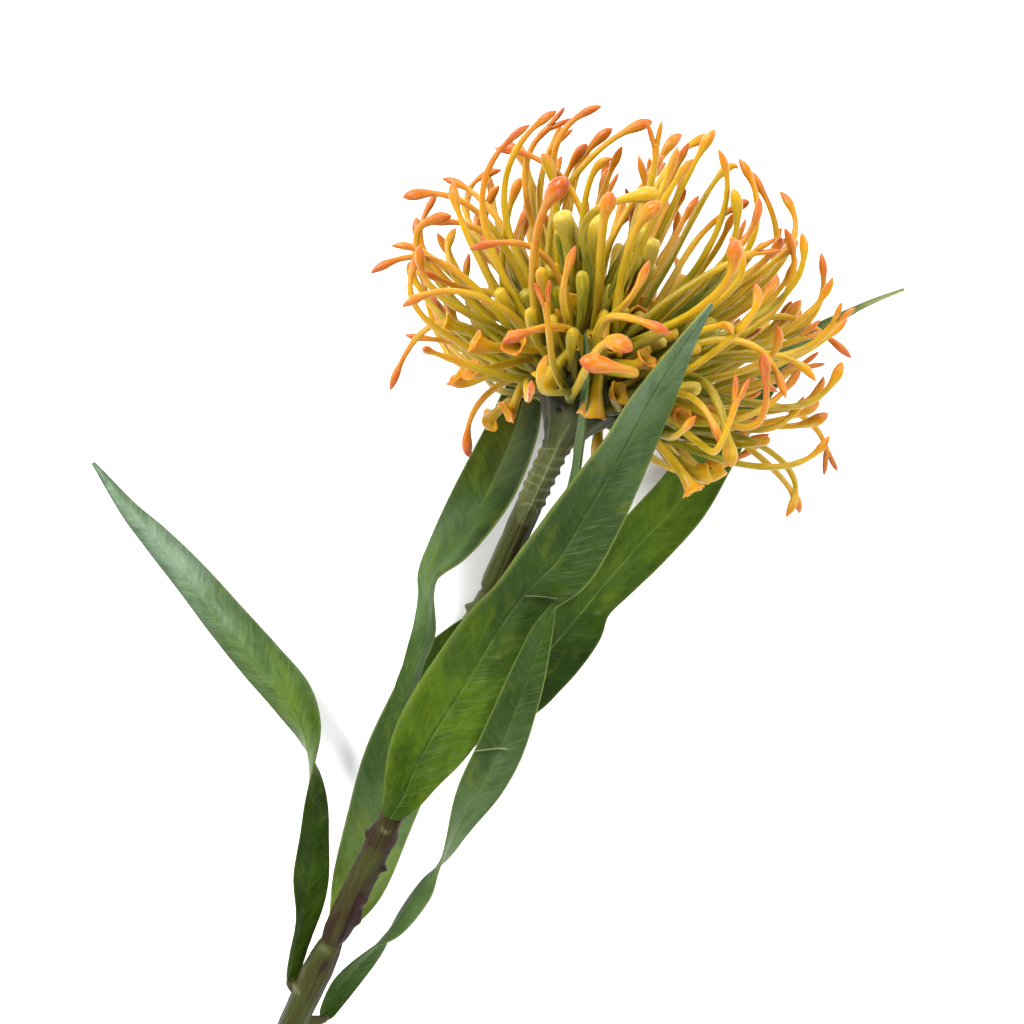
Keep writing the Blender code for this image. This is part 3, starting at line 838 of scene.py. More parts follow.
# Radius of a tip at a distance from its end
LANCE = ((0, 0.06), (0.5, 0.34), (1.3, 0.68), (2.5, 0.93), (3.6, 0.98), (5, 0.78), (6.5, 0.6), (9, 0.6))
CLUB = ((0, 0.08), (0.3, 0.45), (0.9, 0.85), (2, 1.22), (3.2, 1.28), (4.8, 0.98), (6.4, 0.72), (9, 0.6))
LOBE = ((0, 0.05), (0.5, 0.3), (1.3, 0.52), (2.5, 0.62), (3.8, 0.6), (5.4, 0.52))
BUD = ((0, 0.3), (0.1, 0.8), (0.4, 1.2), (1.1, 1.5), (2.4, 1.6), (4.2, 1.5), (6.2, 1.22), (9, 1.08),
       (14, 0.95), (20, 0.8))
BUD_WIDEST = 1.6
BIG = ((0, 0.1), (0.3, 0.5), (0.9, 0.98), (2, 1.42), (3.4, 1.58), (5, 1.36), (6.6, 1.0), (8, 0.78), (9, 0.7))
TIP_LENGTH = 9
TIPS = {"lance": LANCE, "club": CLUB, "big": BIG}
# Radius of a style from the dome at 0 to its tip at 1, and how it swells before it parts in lobes
SHAFT = ((0, 1.1), (0.12, 0.95), (0.3, 0.8), (0.8, 0.7), (1, 0.66))
PARTING = ((0, 1.1), (2, 1.15), (4, 1.0))
LOBES_FROM = 5.0
# Colour along a style, from olive at 0 over gold to salmon at 1
STYLE_HEAT = ((0, 0.06), (0.2, 0.16), (0.42, 0.3), (0.66, 0.45), (0.84, 0.58), (0.93, 0.72), (1, 0.86))


def add_tip_lobes(shape, root, way, side, tint, seed):
    """Two pointed lobes that part at the end of a style."""
    for turn in (-1, 1):
        t = np.linspace(0, 1, LOBE_RINGS)[:, None]
        line = root + way * t * 5.4 + side * turn * (0.35 + 0.75 * t + 0.5 * t * t)
        gone = lengths_along(line)
        points = tube_points(line, read(LOBE, gone[-1] - gone), LOBE_ROUND)
        heat = np.clip(0.68 + 0.24 * t + tint, 0, 1)
        place = triple(heat, 0.0, 0.0, points.shape[:2])
        round_it = np.arange(LOBE_ROUND)[None] * 0.4
        grain = triple(gone[:, None], round_it, seed + turn, points.shape[:2])
        shape.add_grid(points, place, grain)


def add_style(shape, line, kind, tint, seed, rng, bold=1.0):
    """One long style, round and slender, ending in a lance, a club or two lobes."""
    half = STYLE_RINGS // 2
    at = np.concatenate((np.linspace(0, 0.78, half), np.linspace(0.79, 1, half)))
    fine = refined(line, at)
    gone = lengths_along(fine)
    left = gone[-1] - gone
    base = read(SHAFT, at)
    if kind == "lobes":
        cut = np.searchsorted(-left, -LOBES_FROM)
        fine, at, gone, left, base = (v[: cut + 1] for v in (fine, at, gone, left, base))
        radii = base * read(PARTING, left - left[-1])
    else:
        radii = np.where(left < TIP_LENGTH, read(TIPS[kind], left) * rng.uniform(0.9, 1.1), base)
        blend = np.clip((left - 6) / 5, 0, 1)
        radii = np.where(left > 6, base * blend + radii * (1 - blend), radii)
    wave = 1 + 0.05 * np.sin(gone * rng.uniform(0.5, 0.8) + rng.uniform(0, 6))
    radii = radii * np.where(left > 4, wave, 1) * (1 + (bold - 1) * np.clip(gone / 14, 0, 1))
    points = tube_points(fine, radii, STYLE_ROUND, rng.uniform(0.82, 0.98))
    heat = np.clip(read(STYLE_HEAT, at) + tint, 0, 1)
    # painted shade along the first 12 mm, near the dome
    shape.add_round(points, heat, 0.35 * np.clip(1 - gone / 12, 0, 1), gone, seed, 0.8)
    if kind == "lobes":
        way = unit(fine[-1] - fine[-3])
        side = unit(np.cross(way, UPWARD + 0.3 * ACROSS))
        add_tip_lobes(shape, fine[-1] - 0.8 * way, way, side, tint, seed)


def add_trumpet(shape, line, radii, heat, seed, rng):
    """A perianth: a thin neck, and a skirt that flares at its end into a thick lobed lip."""
    at = np.concatenate((np.linspace(0, 0.75, 10), np.linspace(0.78, 1, 12)))
    outside = refined(line, at)
    mouth = radii[-1] * rng.uniform(0.95, 1.15)
    neck = rng.uniform(0.95, 1.1)
    outer_sizes = (0.75, 0.9 * neck, neck, 1.35 * neck, 0.72 * mouth, mouth)
    size = np.interp(at, (0, 0.4, 0.72, 0.84, 0.93, 1), outer_sizes)
    # the inside runs back down from the lip
    back = np.array((1.0, 0.97, 0.9, 0.82, 0.74, 0.66, 0.6))
    depth = np.array((0.0, 0.03, 0.1, 0.2, 0.35, 0.6, 1.0))
    inner_sizes = (0.25, 0.55, 0.85, 0.6 * mouth, mouth - 0.42)
    inner_size = np.interp(back, (0.6, 0.72, 0.84, 0.93, 1), inner_sizes)
    way = unit(outside[-1] - outside[-3])
    path = np.vstack((outside, outside[-1:] + way * 0.28, refined(line, back)))
    sizes = np.concatenate((size, (mouth - 0.12,), inner_size))
    more = 1 + len(back)
    ways = np.vstack((directions(outside), np.repeat(way[None], more, axis=0)))
    first, second = (np.vstack((v, np.repeat(v[-1:], more, axis=0))) for v in side_vectors(outside))
    turn = turns(TRUMPET_ROUND)
    count = rng.choice((4, 4, 5))
    start, spin = rng.uniform(0, 6), rng.uniform(0, 6)
    lobe = 0.12 * np.cos(count * turn + start) + 0.07 * np.cos(2 * turn + spin)
    at_all = np.concatenate((at, (1.0,), back))
    grown = np.clip((at_all - 0.8) / 0.2, 0, 1) ** 1.5
    reach = sizes[:, None] * (1 + lobe[None] * grown[:, None])
    points = path[:, None] + reach[..., None] * (
        np.cos(turn)[None, :, None] * first[:, None] + np.sin(turn)[None, :, None] * second[:, None]
    )
    points = points + ways[:, None] * (0.55 * lobe[None] * grown[:, None] * mouth)[..., None]
    # painted shade: darker towards the neck outside, and deeper down the throat inside the lip
    outer_shade = 0.45 * np.clip(1 - at / 0.5, 0, 1)
    shade = np.concatenate((outer_shade, (0.0,), 0.85 * np.clip(depth * 1.6, 0, 1)))
    outer_heat = heat + 0.22 * np.clip((at - 0.7) / 0.3, 0, 1)
    warm = np.concatenate((outer_heat, (heat + 0.34,), heat + 0.2 - 0.3 * depth))
    shape.add_round(points, np.clip(warm, 0, 1), shade, lengths_along(path), seed)


def add_bud(shape, line, radii, heat, cream, seed):
    """A short closed floret, ribbed, that ends in a rounded knob."""
    at = np.concatenate((np.linspace(0, 0.6, 8), np.linspace(0.64, 1, 18)))
    fine = refined(line, at)
    gone = lengths_along(fine)
    left = gone[-1] - gone
    sizes = read(BUD, left) * radii[-1] / BUD_WIDEST
    ribs = 1 + 0.05 * np.clip(left / 2, 0, 1)[:, None] * np.cos(4 * turns(BUD_ROUND) + seed)[None]
    points = tube_points(fine, sizes, BUD_ROUND, 0.88, ribs)
    warm = np.clip(heat + 0.12 * np.clip(1 - left / 8, 0, 1), 0, 1)
    # painted shade towards the base, and the bud's own cream towards its knob
    shade = 0.5 * np.clip(1 - at / 0.6, 0, 1) - cream * np.clip(1 - left / 12, 0, 1)
    shape.add_round(points, warm, shade, gone, seed)


# Trumpets over the face of the cup: the points that each runs through, across, along and above
FACE_TRUMPETS = [
    ((-2, 8, 5), (-5, 13, 11), (-6.3, 10.5, 15), (-8.2, 3.6, 15.6)),
    ((0, 8, 5.5), (-0.8, 14, 11), (1.2, 11, 16), (3.6, 1.6, 17)),
    ((3, 8, 5.5), (8.5, 13.5, 11), (9.6, 12.5, 14.4), (6.6, 6.6, 15.6)),
    ((-1, 9, 7), (-2.6, 19.5, 13.5), (-2.2, 21.8, 16.8), (-1.4, 17.4, 17.8)),
    ((-2, 9, 6), (-3.6, 14.6, 11.5), (-3.6, 16.6, 14.2), (-2.8, 13.2, 15.8)),
]
FACE_MOUTHS = (3.3, 2.7, 2.5, 2.2, 1.8)
MOUTHS_APART = 2.5
# How many knobs show between the styles, and how far each may be lowered to find room
FACE_KNOBS = 16
KNOB_LOWERED = (0, 1.5, 3, 4.5, 6)
KNOB_POINTS = 6
FACE_BUDS = 260
FACE_SPREAD = math.radians(78)
BUD_TRIES = 5
BUD_LEAST_ALONG = 14
INNER_COUNT = 190
INNER_SPREAD = math.radians(88)
INNER_TRIES = 18
FILLER_COUNT = 170
FILLER_SPREAD = math.radians(104)
FILLER_TRIES = 16
# The side that faces up stays open
FRONT = 0.25


def short_floret(rng, way, tip, sag, places, sizes):
    """The arc and the radii of a floret that leaves the dome along way."""
    line = style_line(dome_start(way), way, tip, drift(rng, sag), np.zeros(3), PERIANTH_STEPS)
    return line, floret_radii(places, sizes)


def settled(room, line, radii, near_dome, pressed, overlap, lowest=0.0):
    """Takes room for an arc, unless it is too low or presses in too far away from the dome."""
    beyond = np.linalg.norm(line - RIM, axis=1) > DOME_RADIUS + near_dome
    clear = off_the_cup(line, radii) and line[:, 2].min() > lowest
    if not clear or not room.free(line[beyond], radii[beyond] - pressed):
        return False
    room.take(line[beyond], radii[beyond] - overlap)
    return True


def plan_face_trumpets(room, perianths):
    """The trumpets over the cup's face that the CAD has no room for."""
    ends = np.array([p[0][-1] for p in perianths if p])
    found = []
    for points, mouth in zip(FACE_TRUMPETS, FACE_MOUTHS):
        line = smooth_line([head_point(*p) for p in points], PERIANTH_STEPS)
        if np.linalg.norm(ends - line[-1], axis=1).min() < MOUTHS_APART:
            continue
        radii = floret_radii((0, 0.55, 0.82, 1), (0.8, 0.9, 1.6, mouth))
        room.take(line[5:], radii[5:])
        found.append((unit(line[-1] - RIM), line, radii, True, None))
    return found


def plan_face_knobs(rng, room):
    """The knobs over the face, each as high as the styles around it leave room for."""
    found = []
    for _ in range(FACE_KNOBS):
        across, along, above = rng.uniform(-20, 20), rng.uniform(18, 45), rng.uniform(13, 17)
        size = rng.uniform(1.7, 2.3)
        heat = rng.uniform(0, 0.26)
        cream = rng.choice((0, 0, 0.3, 0.5, 0.7))
        for lower in KNOB_LOWERED:
            tip = head_point(across, along, above - lower)
            way = unit(tip - RIM)
            line, radii = short_floret(rng, way, tip, 0.8, (0, 0.5, 0.8, 1), (0.8, 1.1, size, size))
            if room.free(line[-KNOB_POINTS:], radii[-KNOB_POINTS:] - 0.9):
                break
        room.take(line[4:], radii[4:])
        found.append((way, line, radii, False, (heat, cream)))
    return found


def plan_face_buds(rng, room):
    """Slimmer buds in the part of the head that faces up, where each can be seen from above."""
    found = []
    for way in spiral(FACE_BUDS, FACE_SPREAD):
        if np.dot(way, UPWARD) < 0.12 or np.dot(way, ALONG) < 0.25:
            continue
        for _ in range(BUD_TRIES):
            tip = RIM + unit(way + drift(rng, 0.08)) * (DOME_RADIUS + rng.uniform(12, 30))
            size = rng.uniform(1.2, 1.65)
            over = room.points[:, 2] > tip[2] + 0.5
            beside = np.linalg.norm(room.points[over, :2] - tip[:2], axis=1) - room.radii[over]
            if np.dot(tip - RIM, ALONG) < BUD_LEAST_ALONG or beside.min() < 0.4 * size:
                continue
            line, radii = short_floret(rng, way, tip, 1.2, (0, 0.55, 0.8, 1), (0.7, 0.9, size, size))
            if settled(room, line, radii, 8, 0.8, 0.1):
                found.append((way, line, radii, False, bud_colour(rng, tip)))
                break
    return found


def bud_colour(rng, tip):
    """Heat and creaminess of a bud: green in the middle of the face, creamy to its right."""
    across, above = np.dot(tip - RIM, ACROSS), np.dot(tip - RIM, UPWARD)
    if above > 6 and across > 4:
        choices = ((0.2, 0.6), (0.12, 0.4), (0.28, 0.5), (0.05, 0.1), (0.3, 0.1))
    elif above > 6 and across > -14:
        choices = ((0.02, 0), (0.06, 0.1), (0.12, 0), (0.2, 0.25), (0.22, 0))
    else:
        choices = ((0.1, 0), (0.22, 0), (0.3, 0.1), (0.36, 0), (0.28, 0))
    heat, cream = rng.choice(choices)
    return heat + rng.uniform(-0.03, 0.03), cream


def plan_inner(rng, room):
    """Short florets between the long ones: closed buds and small trumpets."""
    found = []
    for way in spiral(INNER_COUNT, INNER_SPREAD):
        along, above = np.dot(way, ALONG), np.dot(way, UPWARD)
        if along < 0.55 and above > -0.4:
            continue
        facing = above > 0.1
        trumpet = rng.random() < (0.25 if facing else 0.4)
        size = rng.uniform(1.3, 1.95) if facing else rng.uniform(1.1, 1.6)
        thick = (0.75, 0.9, 1.5, 2.2) if trumpet else (0.7, 0.8, size, size)
        for _ in range(INNER_TRIES):
            reach = rng.uniform(13, 24) if trumpet else rng.uniform(14, 33)
            tip = RIM + unit(way + drift(rng, 0.17)) * (DOME_RADIUS + reach)
            line, radii = short_floret(rng, way, tip, 1.0, (0, 0.6, 0.85, 1), thick)
            if settled(room, line, radii, 7, 0.4, 0.35, lowest=2):
                found.append((way, line, radii, trumpet, bud_colour(rng, line[-1])))
                break
    return found


def plan_fillers(rng, room):
    """More styles, a little shorter than those of the outline, where there is room for them."""
    found = []
    middle = head_point(0, BALL_CENTRE, 0)
    radii = style_radii(STALK_RADIUS)
    for way in spiral(FILLER_COUNT, FILLER_SPREAD):
        if np.dot(way, UPWARD) > FRONT:
            continue
        for _ in range(FILLER_TRIES):
            tip = middle + unit(way + drift(rng, 0.07)) * (BALL_RADIUS + rng.uniform(-9, -0.5))
            bow = outward_bow(rng, tip, 2, 9) + drift(rng, 2.2)
            early = first_way(tip, bow)
            line = style_line(dome_start(early), early, tip, bow, drift(rng, 1.6), PLAN_STEPS)
            if settled(room, line, radii, 11, 0.3, 0.1, lowest=1.5):
                found.append((way, line))
                break
    return found


# Ends of some of the outline's styles, and how much warmer or cooler than most they are
SHOWN_ENDS = {
    4: ("lance", 0.0), 5: ("club", 0.14), 9: ("lance", 0.1), 11: ("lobes", 0.05), 12: ("lobes", 0.1),
    13: ("lance", 0.12), 14: ("club", 0.1), 36: ("lobes", 0.12), 41: ("club", -0.2), 44: ("lance", 0.12),
    45: ("big", 0.06), 46: ("lance", 0.06), 47: ("big", 0.0), 48: ("big", 0.2), 49: ("club", 0.12),
    50: ("club", 0.1), 51: ("club", 0.06), 52: ("club", -0.25), 53: ("club", -0.22), 55: ("lance", 0.08),
}
SAME_TIP = 6.0
# Styles that reach this far above the rim are bolder, and the lowest ones all end in a lance
IN_FRONT = 25
BOLDER = 1.25
LOW_TIP = 14
END_KINDS = ("lance", "club", "lobes")
END_SHARES = (76, 10, 14)


def any_end(rng):
    return rng.choices(END_KINDS, END_SHARES)[0]


def style_end(rng, line):
    """The kind and the tint of a style's end, and how thick the style is."""
    kind = any_end(rng)
    tint, bold = rng.gauss(-0.02, 0.06), 1.0
    tips = np.array([head_point(*place[:3]) for place in SHOWN_STYLES])
    apart = np.linalg.norm(tips - line[-1], axis=1)
    nearest = int(apart.argmin())
    if apart[nearest] < SAME_TIP and nearest in SHOWN_ENDS:
        kind, warmer = SHOWN_ENDS[nearest]
        tint += warmer
        bold = BOLDER if SHOWN_STYLES[nearest][2] > IN_FRONT else 1.0
    elif np.dot(line[-1] - RIM, ALONG) < LOW_TIP:
        kind = "lance"
    if line[-1, 0] < -30:
        tint += 0.06
    if line[-1, 0] > 20:
        tint -= 0.03
    return kind, tint, bold


def by_sprig(florets, bases, standing):
    """Florets under the number of the standing sprig that each is nearest to."""
    held = {k: [] for k in standing}
    for way, *floret in florets:
        held[max(standing, key=lambda k: np.dot(bases[k], way))].append(floret)
    return held


def make_florets(finish):
    """A piece for each sprig: its styles and its trumpet, and the extra florets near it."""
    room, bases, sprigs, perianths = plan_head()
    standing = [k for k in range(SPRIGS) if sprigs[k]]
    rng = random.Random(SEED + 1)
    short = plan_face_trumpets(room, perianths) + plan_face_knobs(rng, room)
    fillers = by_sprig(plan_fillers(rng, room), bases, standing)
    buds = plan_face_buds(rng, room)
    short = by_sprig(plan_inner(rng, room) + short + buds, bases, standing)
    seeds = itertools.accumulate(itertools.repeat(SEED_STEP))
    for k in standing:
        shape = Shape()
        for (line,) in fillers[k]:
            kind = any_end(rng)
            add_style(shape, line, kind, rng.gauss(-0.04, 0.06), next(seeds), rng)
        for line, _ in sprigs[k]:
            kind, tint, bold = style_end(rng, line)
            add_style(shape, line, kind, tint, next(seeds), rng, bold)
        if perianths[k]:
            add_trumpet(shape, *perianths[k], rng.uniform(0.3, 0.45), next(seeds), rng)
        for line, radii, trumpet, colour in short[k]:
            if trumpet:
                add_trumpet(shape, line, radii, rng.uniform(0.24, 0.4), next(seeds), rng)
            else:
                add_bud(shape, line, radii, *colour, next(seeds))
        shape.piece(f"florets_{k + 1:02d}", finish, "floret", f"sprig_{k + 1:02d}")


# ---- leaves -------------------------------------------------------------------------------

BLADE_STEPS = 330
# Half of the places across a blade, from its midrib at 0 to an edge at 1
BLADE_PLACES = (0, 0.03, 0.08, 0.16, 0.27, 0.4, 0.53, 0.66, 0.78, 0.88, 0.94, 0.98, 1)
ROUNDED_BASE = 2.2
VEIN_PITCH = 2.1
VEIN_HEIGHT = 0.02
MIDRIB = 0.05
# How far a blade's left and right edges lie inside the leaf's even outline, along it
EDGE_TRIMS = {
    "leaf_left": (
        ((0, 0), (0.06, 2.1), (0.11, 1.5), (0.17, 0.4), (0.25, 1.0), (0.36, 0)),
        ((0.05, 0), (0.08, 1.2), (0.12, 0.2), (0.17, 0), (0.24, 0.9), (0.34, 0)),
    ),
}
EVEN = ((0, 0), (1, 0))
EDGE_SHIFTS = (-0.02, 0, 0.02)


def smoothed(table, at, shifts):
    """A table read a little before and after each place, which rounds its corners."""
    return sum(read(table, at + shift) for shift in shifts) / len(shifts)


def blade_outline(name):
    """Middle line, frames, widths and lengths of a leaf, with its base rounded off."""
    line, frames, widths = leaf_frame(name, BLADE_STEPS)
    gone = lengths_along(line)
    base = np.clip(gone / ROUNDED_BASE, 0, 1)
    widths = widths * (0.35 + 0.65 * np.sqrt(1 - (1 - base) ** 2))
    return line, frames, widths, gone


def make_leaf(name, finish, veins):
    """A blade with a keel, thin edges, a midrib, and veins that slant from it."""
    line, frames, widths, gone = blade_outline(name)
    across, out = (np.array(v) for v in zip(*frames))
    half = np.array(BLADE_PLACES)
    a = np.concatenate((-half[:0:-1], half))
    keel = -LEAF_KEEL * (1 - np.abs(a) ** 1.32)
    thick = np.minimum(LEAF_THICKNESS, 0.4 * widths)
    edge = np.minimum(LEAF_EDGE, 0.3 * widths)
    body = np.sqrt(np.clip(1 - np.abs(a) ** 3, 0, 1))
    thickness = edge[:, None] * np.clip((1 - np.abs(a)) / 0.04, 0, 1) ** 0.5
    thickness = thickness + (thick - edge)[:, None] * body[None]
    run = gone / gone[-1]
    trims = EDGE_TRIMS.get(name, (EVEN, EVEN))
    left, right = (smoothed(table, run, EDGE_SHIFTS)[:, None] for table in trims)
    half_widths = widths[:, None] / 2 - np.where(a < 0, left, right)
    sideways = half_widths * a[None]
    vein = gone[:, None] - np.abs(sideways)
    strong = read(veins, run)[:, None] * np.clip((1 - np.abs(a)) / 0.2, 0, 1)[None]
    wave = 0.5 * np.sin(2 * math.pi * vein / VEIN_PITCH + 0.7 * np.sin(vein * 0.37))
    wave = wave + 0.3 * np.sin(2 * math.pi * vein / (0.43 * VEIN_PITCH) + np.sin(vein * 0.61))
    ridge = VEIN_HEIGHT * strong * wave
    rib = MIDRIB * np.exp(-((sideways / 0.3) ** 2)) * np.clip(widths / 6, 0, 1)[:, None]
    middle = keel[None] * widths[:, None]
    upper = middle + thickness / 2 + ridge - rib
    lower = middle - thickness / 2 + ridge - 1.4 * rib
    flat = line[:, None] + across[:, None] * sideways[..., None]
    faces = [flat + out[:, None] * height[..., None] for height in (upper, lower)]
    # round each section: over the upper face to the right, and back under it
    points, veined, aside, place = (
        np.concatenate((over, under[:, ::-1]), axis=1)
        for over, under in (faces, (vein, vein), (sideways, sideways), (a[None], a[None]))
    )
    place = triple(run[:, None], place * 0.5 + 0.5, 0.0, points.shape[:2])
    grain = triple(veined, aside, gone[:, None], points.shape[:2])
    shape = Shape()
    shape.add_grid(points, place, grain)
    shape.piece(name.replace("leaf", "blade"), finish, "leaf", name)


# ---- stem ---------------------------------------------------------------------------------

BARK_STEP = 0.4
NECK_STEP = 0.17
BARK_SIDES = 84
BARK_SHIFTS = (-0.8, -0.4, 0, 0.4, 0.8)
DOME_RINGS = 14
# Rings inside the cut end, as shares of its radius
CUT_RINGS = (0.35, 0.7, 0.92)
STUB_STEPS, STUB_SIDES = 14, 14
# Joints of the stem: the lower one, the end of the torn sheath, and the upper one
LOWER_JOINT, SHEATH_END, UPPER_JOINT = 71.2, 104, 157
# Where the neck and the cup begin, and the cup's rim
NECK_FROM, CUP_FROM, RIM_AT = 174, 190, 202
# An oval scar and a hole, at a distance and to the side or round the stem
SCAR_AT, SCAR_SIDE = 175.8, 0.3
HOLE_AT, HOLE_ANGLE = 200.2, math.radians(112)
RIBS_FROM, RIBS_TO = 178, 192.5
RIB_PITCH = 2.45
# The seam lies this far to the right of the neck's middle
SEAM = 0.42
UP = math.pi / 2
# Pale rungs of the neck to the left of the seam: distance, slant and strength
LEFT_RUNGS = [
    (191.4, 0.42, 0.42),
    (187.2, 0.1, 0.18),
    (184.8, 0.05, 0.38),
    (182.8, 0.0, 0.3),
    (180.9, -0.1, 0.16),
]
# How far the bark lies to the side of the stem's line, and half its width
BARK_ASIDE = ((0, -1.3), (52, -1.0), (63.5, -0.6), (74, 0), (100, 0.95), (112, 0.6), (130, 0))
BARK_HALF_WIDTH = ((0, 3.3), (52, 3.15), (63.5, 3.45), (68.5, 3.0), (71.2, 2.45), (74, 3.1), (112, 3.1),
                   (150, 2.9), (157, 2.35), (158.6, 2.95), (170, 2.85), (192, 2.9))
# Knobs on the bark: distance, angle in degrees, height, and spreads along and round
KNOBS = [
    (91, 0, 1.6, 0.8, 0.35),
    (88.2, 0, 0.3, 0.8, 0.3),
    (82.7, 5, 0.4, 0.8, 0.3),
    (77.5, 0, 1.3, 1.3, 0.4),
    (79.3, 8, 0.5, 1.0, 0.4),
    (97, 180, 1.1, 0.7, 0.35),
    (95, 150, 0.3, 2.0, 0.4),
    (152.2, 178, 1.5, 0.9, 0.5),
    (149.8, 160, 0.5, 0.8, 0.5),
    (112, 160, 0.5, 2.0, 0.5),
    (58.2, 183, 0.9, 0.9, 0.4),
    (129, -25, 0.4, 2.0, 0.5),
]


def around(angle, middle, spread):
    """How near an angle is to a middle, from 1 there down to 0."""
    apart = np.abs((angle - middle + math.pi) % (2 * math.pi) - math.pi)
    return np.exp(-((apart / spread) ** 2))


def near(s, middle, spread):
    return np.exp(-(((s - middle) / spread) ** 2))


def ramped(s, start, end, soft):
    """1 from start to end, fading to 0 beyond them."""
    return np.clip((s - start) / soft + 0.5, 0, 1) * np.clip((end - s) / soft + 0.5, 0, 1)


def grown(value, start, length):
    """0 up to start, then rising to 1 over a length."""
    return np.clip((value - start) / length, 0, 1)


def sheath_edge(angle):
    """How far up the stem the torn sheath under the front leaf reaches."""
    ears = 4.6 * around(angle, math.radians(132), 0.3) + 4.3 * around(angle, math.radians(48), 0.28)
    return 99.9 + ears + 0.35 * np.sin(5 * angle)


def bark_radius(S, A):
    """Radius of the bark at distances along the stem and angles round it."""
    radius = smoothed(STEM_PROFILE, S, BARK_SHIFTS)
    # the sheath ends in two ears, with the bark narrower beyond it
    plain = np.interp(S, (90, 97, 108, 112), (4.2, 4.1, 3.55, 3.5))
    sheath = np.clip((sheath_edge(A) - S) / 0.5, 0, 1)
    in_reach = (S > 96) & (S < 110)
    radius = np.where(in_reach, plain + 0.55 * sheath * grown(S, 94, 4), radius)
    # the joints between the segments
    radius -= 0.45 * near(S, LOWER_JOINT + 0.5 * np.sin(A + 2.2), 0.4)
    radius -= 0.4 * near(S, UPPER_JOINT + 0.3 * np.sin(A), 0.5)
    for place, degrees, height, length, breadth in KNOBS:
        radius += height * near(S, place, length) * around(A, math.radians(degrees), breadth)
    # fibres, and shallow dents
    wander = 0.25 * np.sin(S * 0.11)
    radius += 0.05 * np.sin(9 * A + 3 * wander + 1.3 * np.sin(S * 0.07)) + 0.035 * np.sin(23 * A + 5 * wander)
    radius += 0.06 * np.sin(S * 0.9 + 2 * np.sin(A * 2)) * np.sin(S * 0.23 + A)
    # ribs of the neck, boldest on the right
    ribbed = ramped(S, RIBS_FROM, RIBS_TO, 1.5)
    rib = np.cos(2 * math.pi * (S - 179.3) / RIB_PITCH + 0.35 * np.sin(2 * A) + 0.3 * np.sin(5 * A))
    rib = rib + 0.3 * rib * rib
    radius += ribbed * rib * (0.06 + 0.17 * around(A, 0, 0.8) + 0.09 * around(A, math.pi, 0.6))
    # the cup: soft folds, a hole, and a raised seam down its face and the neck
    cup = grown(S, CUP_FROM + 1, 5)
    radius += cup * (0.2 * np.sin(9 * A + 0.4) + 0.12 * np.sin(17 * A + 1) + 0.1 * np.sin(S * 1.3 + 3 * A))
    radius -= 1.4 * near(S, HOLE_AT, 0.55) * around(A, HOLE_ANGLE, 0.07)
    seam = ramped(S, NECK_FROM, 198.5, 2) * near(radius * np.cos(A), SEAM, 0.22) * (A < math.pi)
    radius += 0.14 * seam + 0.35 * near(S, 193.5, 0.9) * around(A, UP - 0.1, 0.09)
    return radius


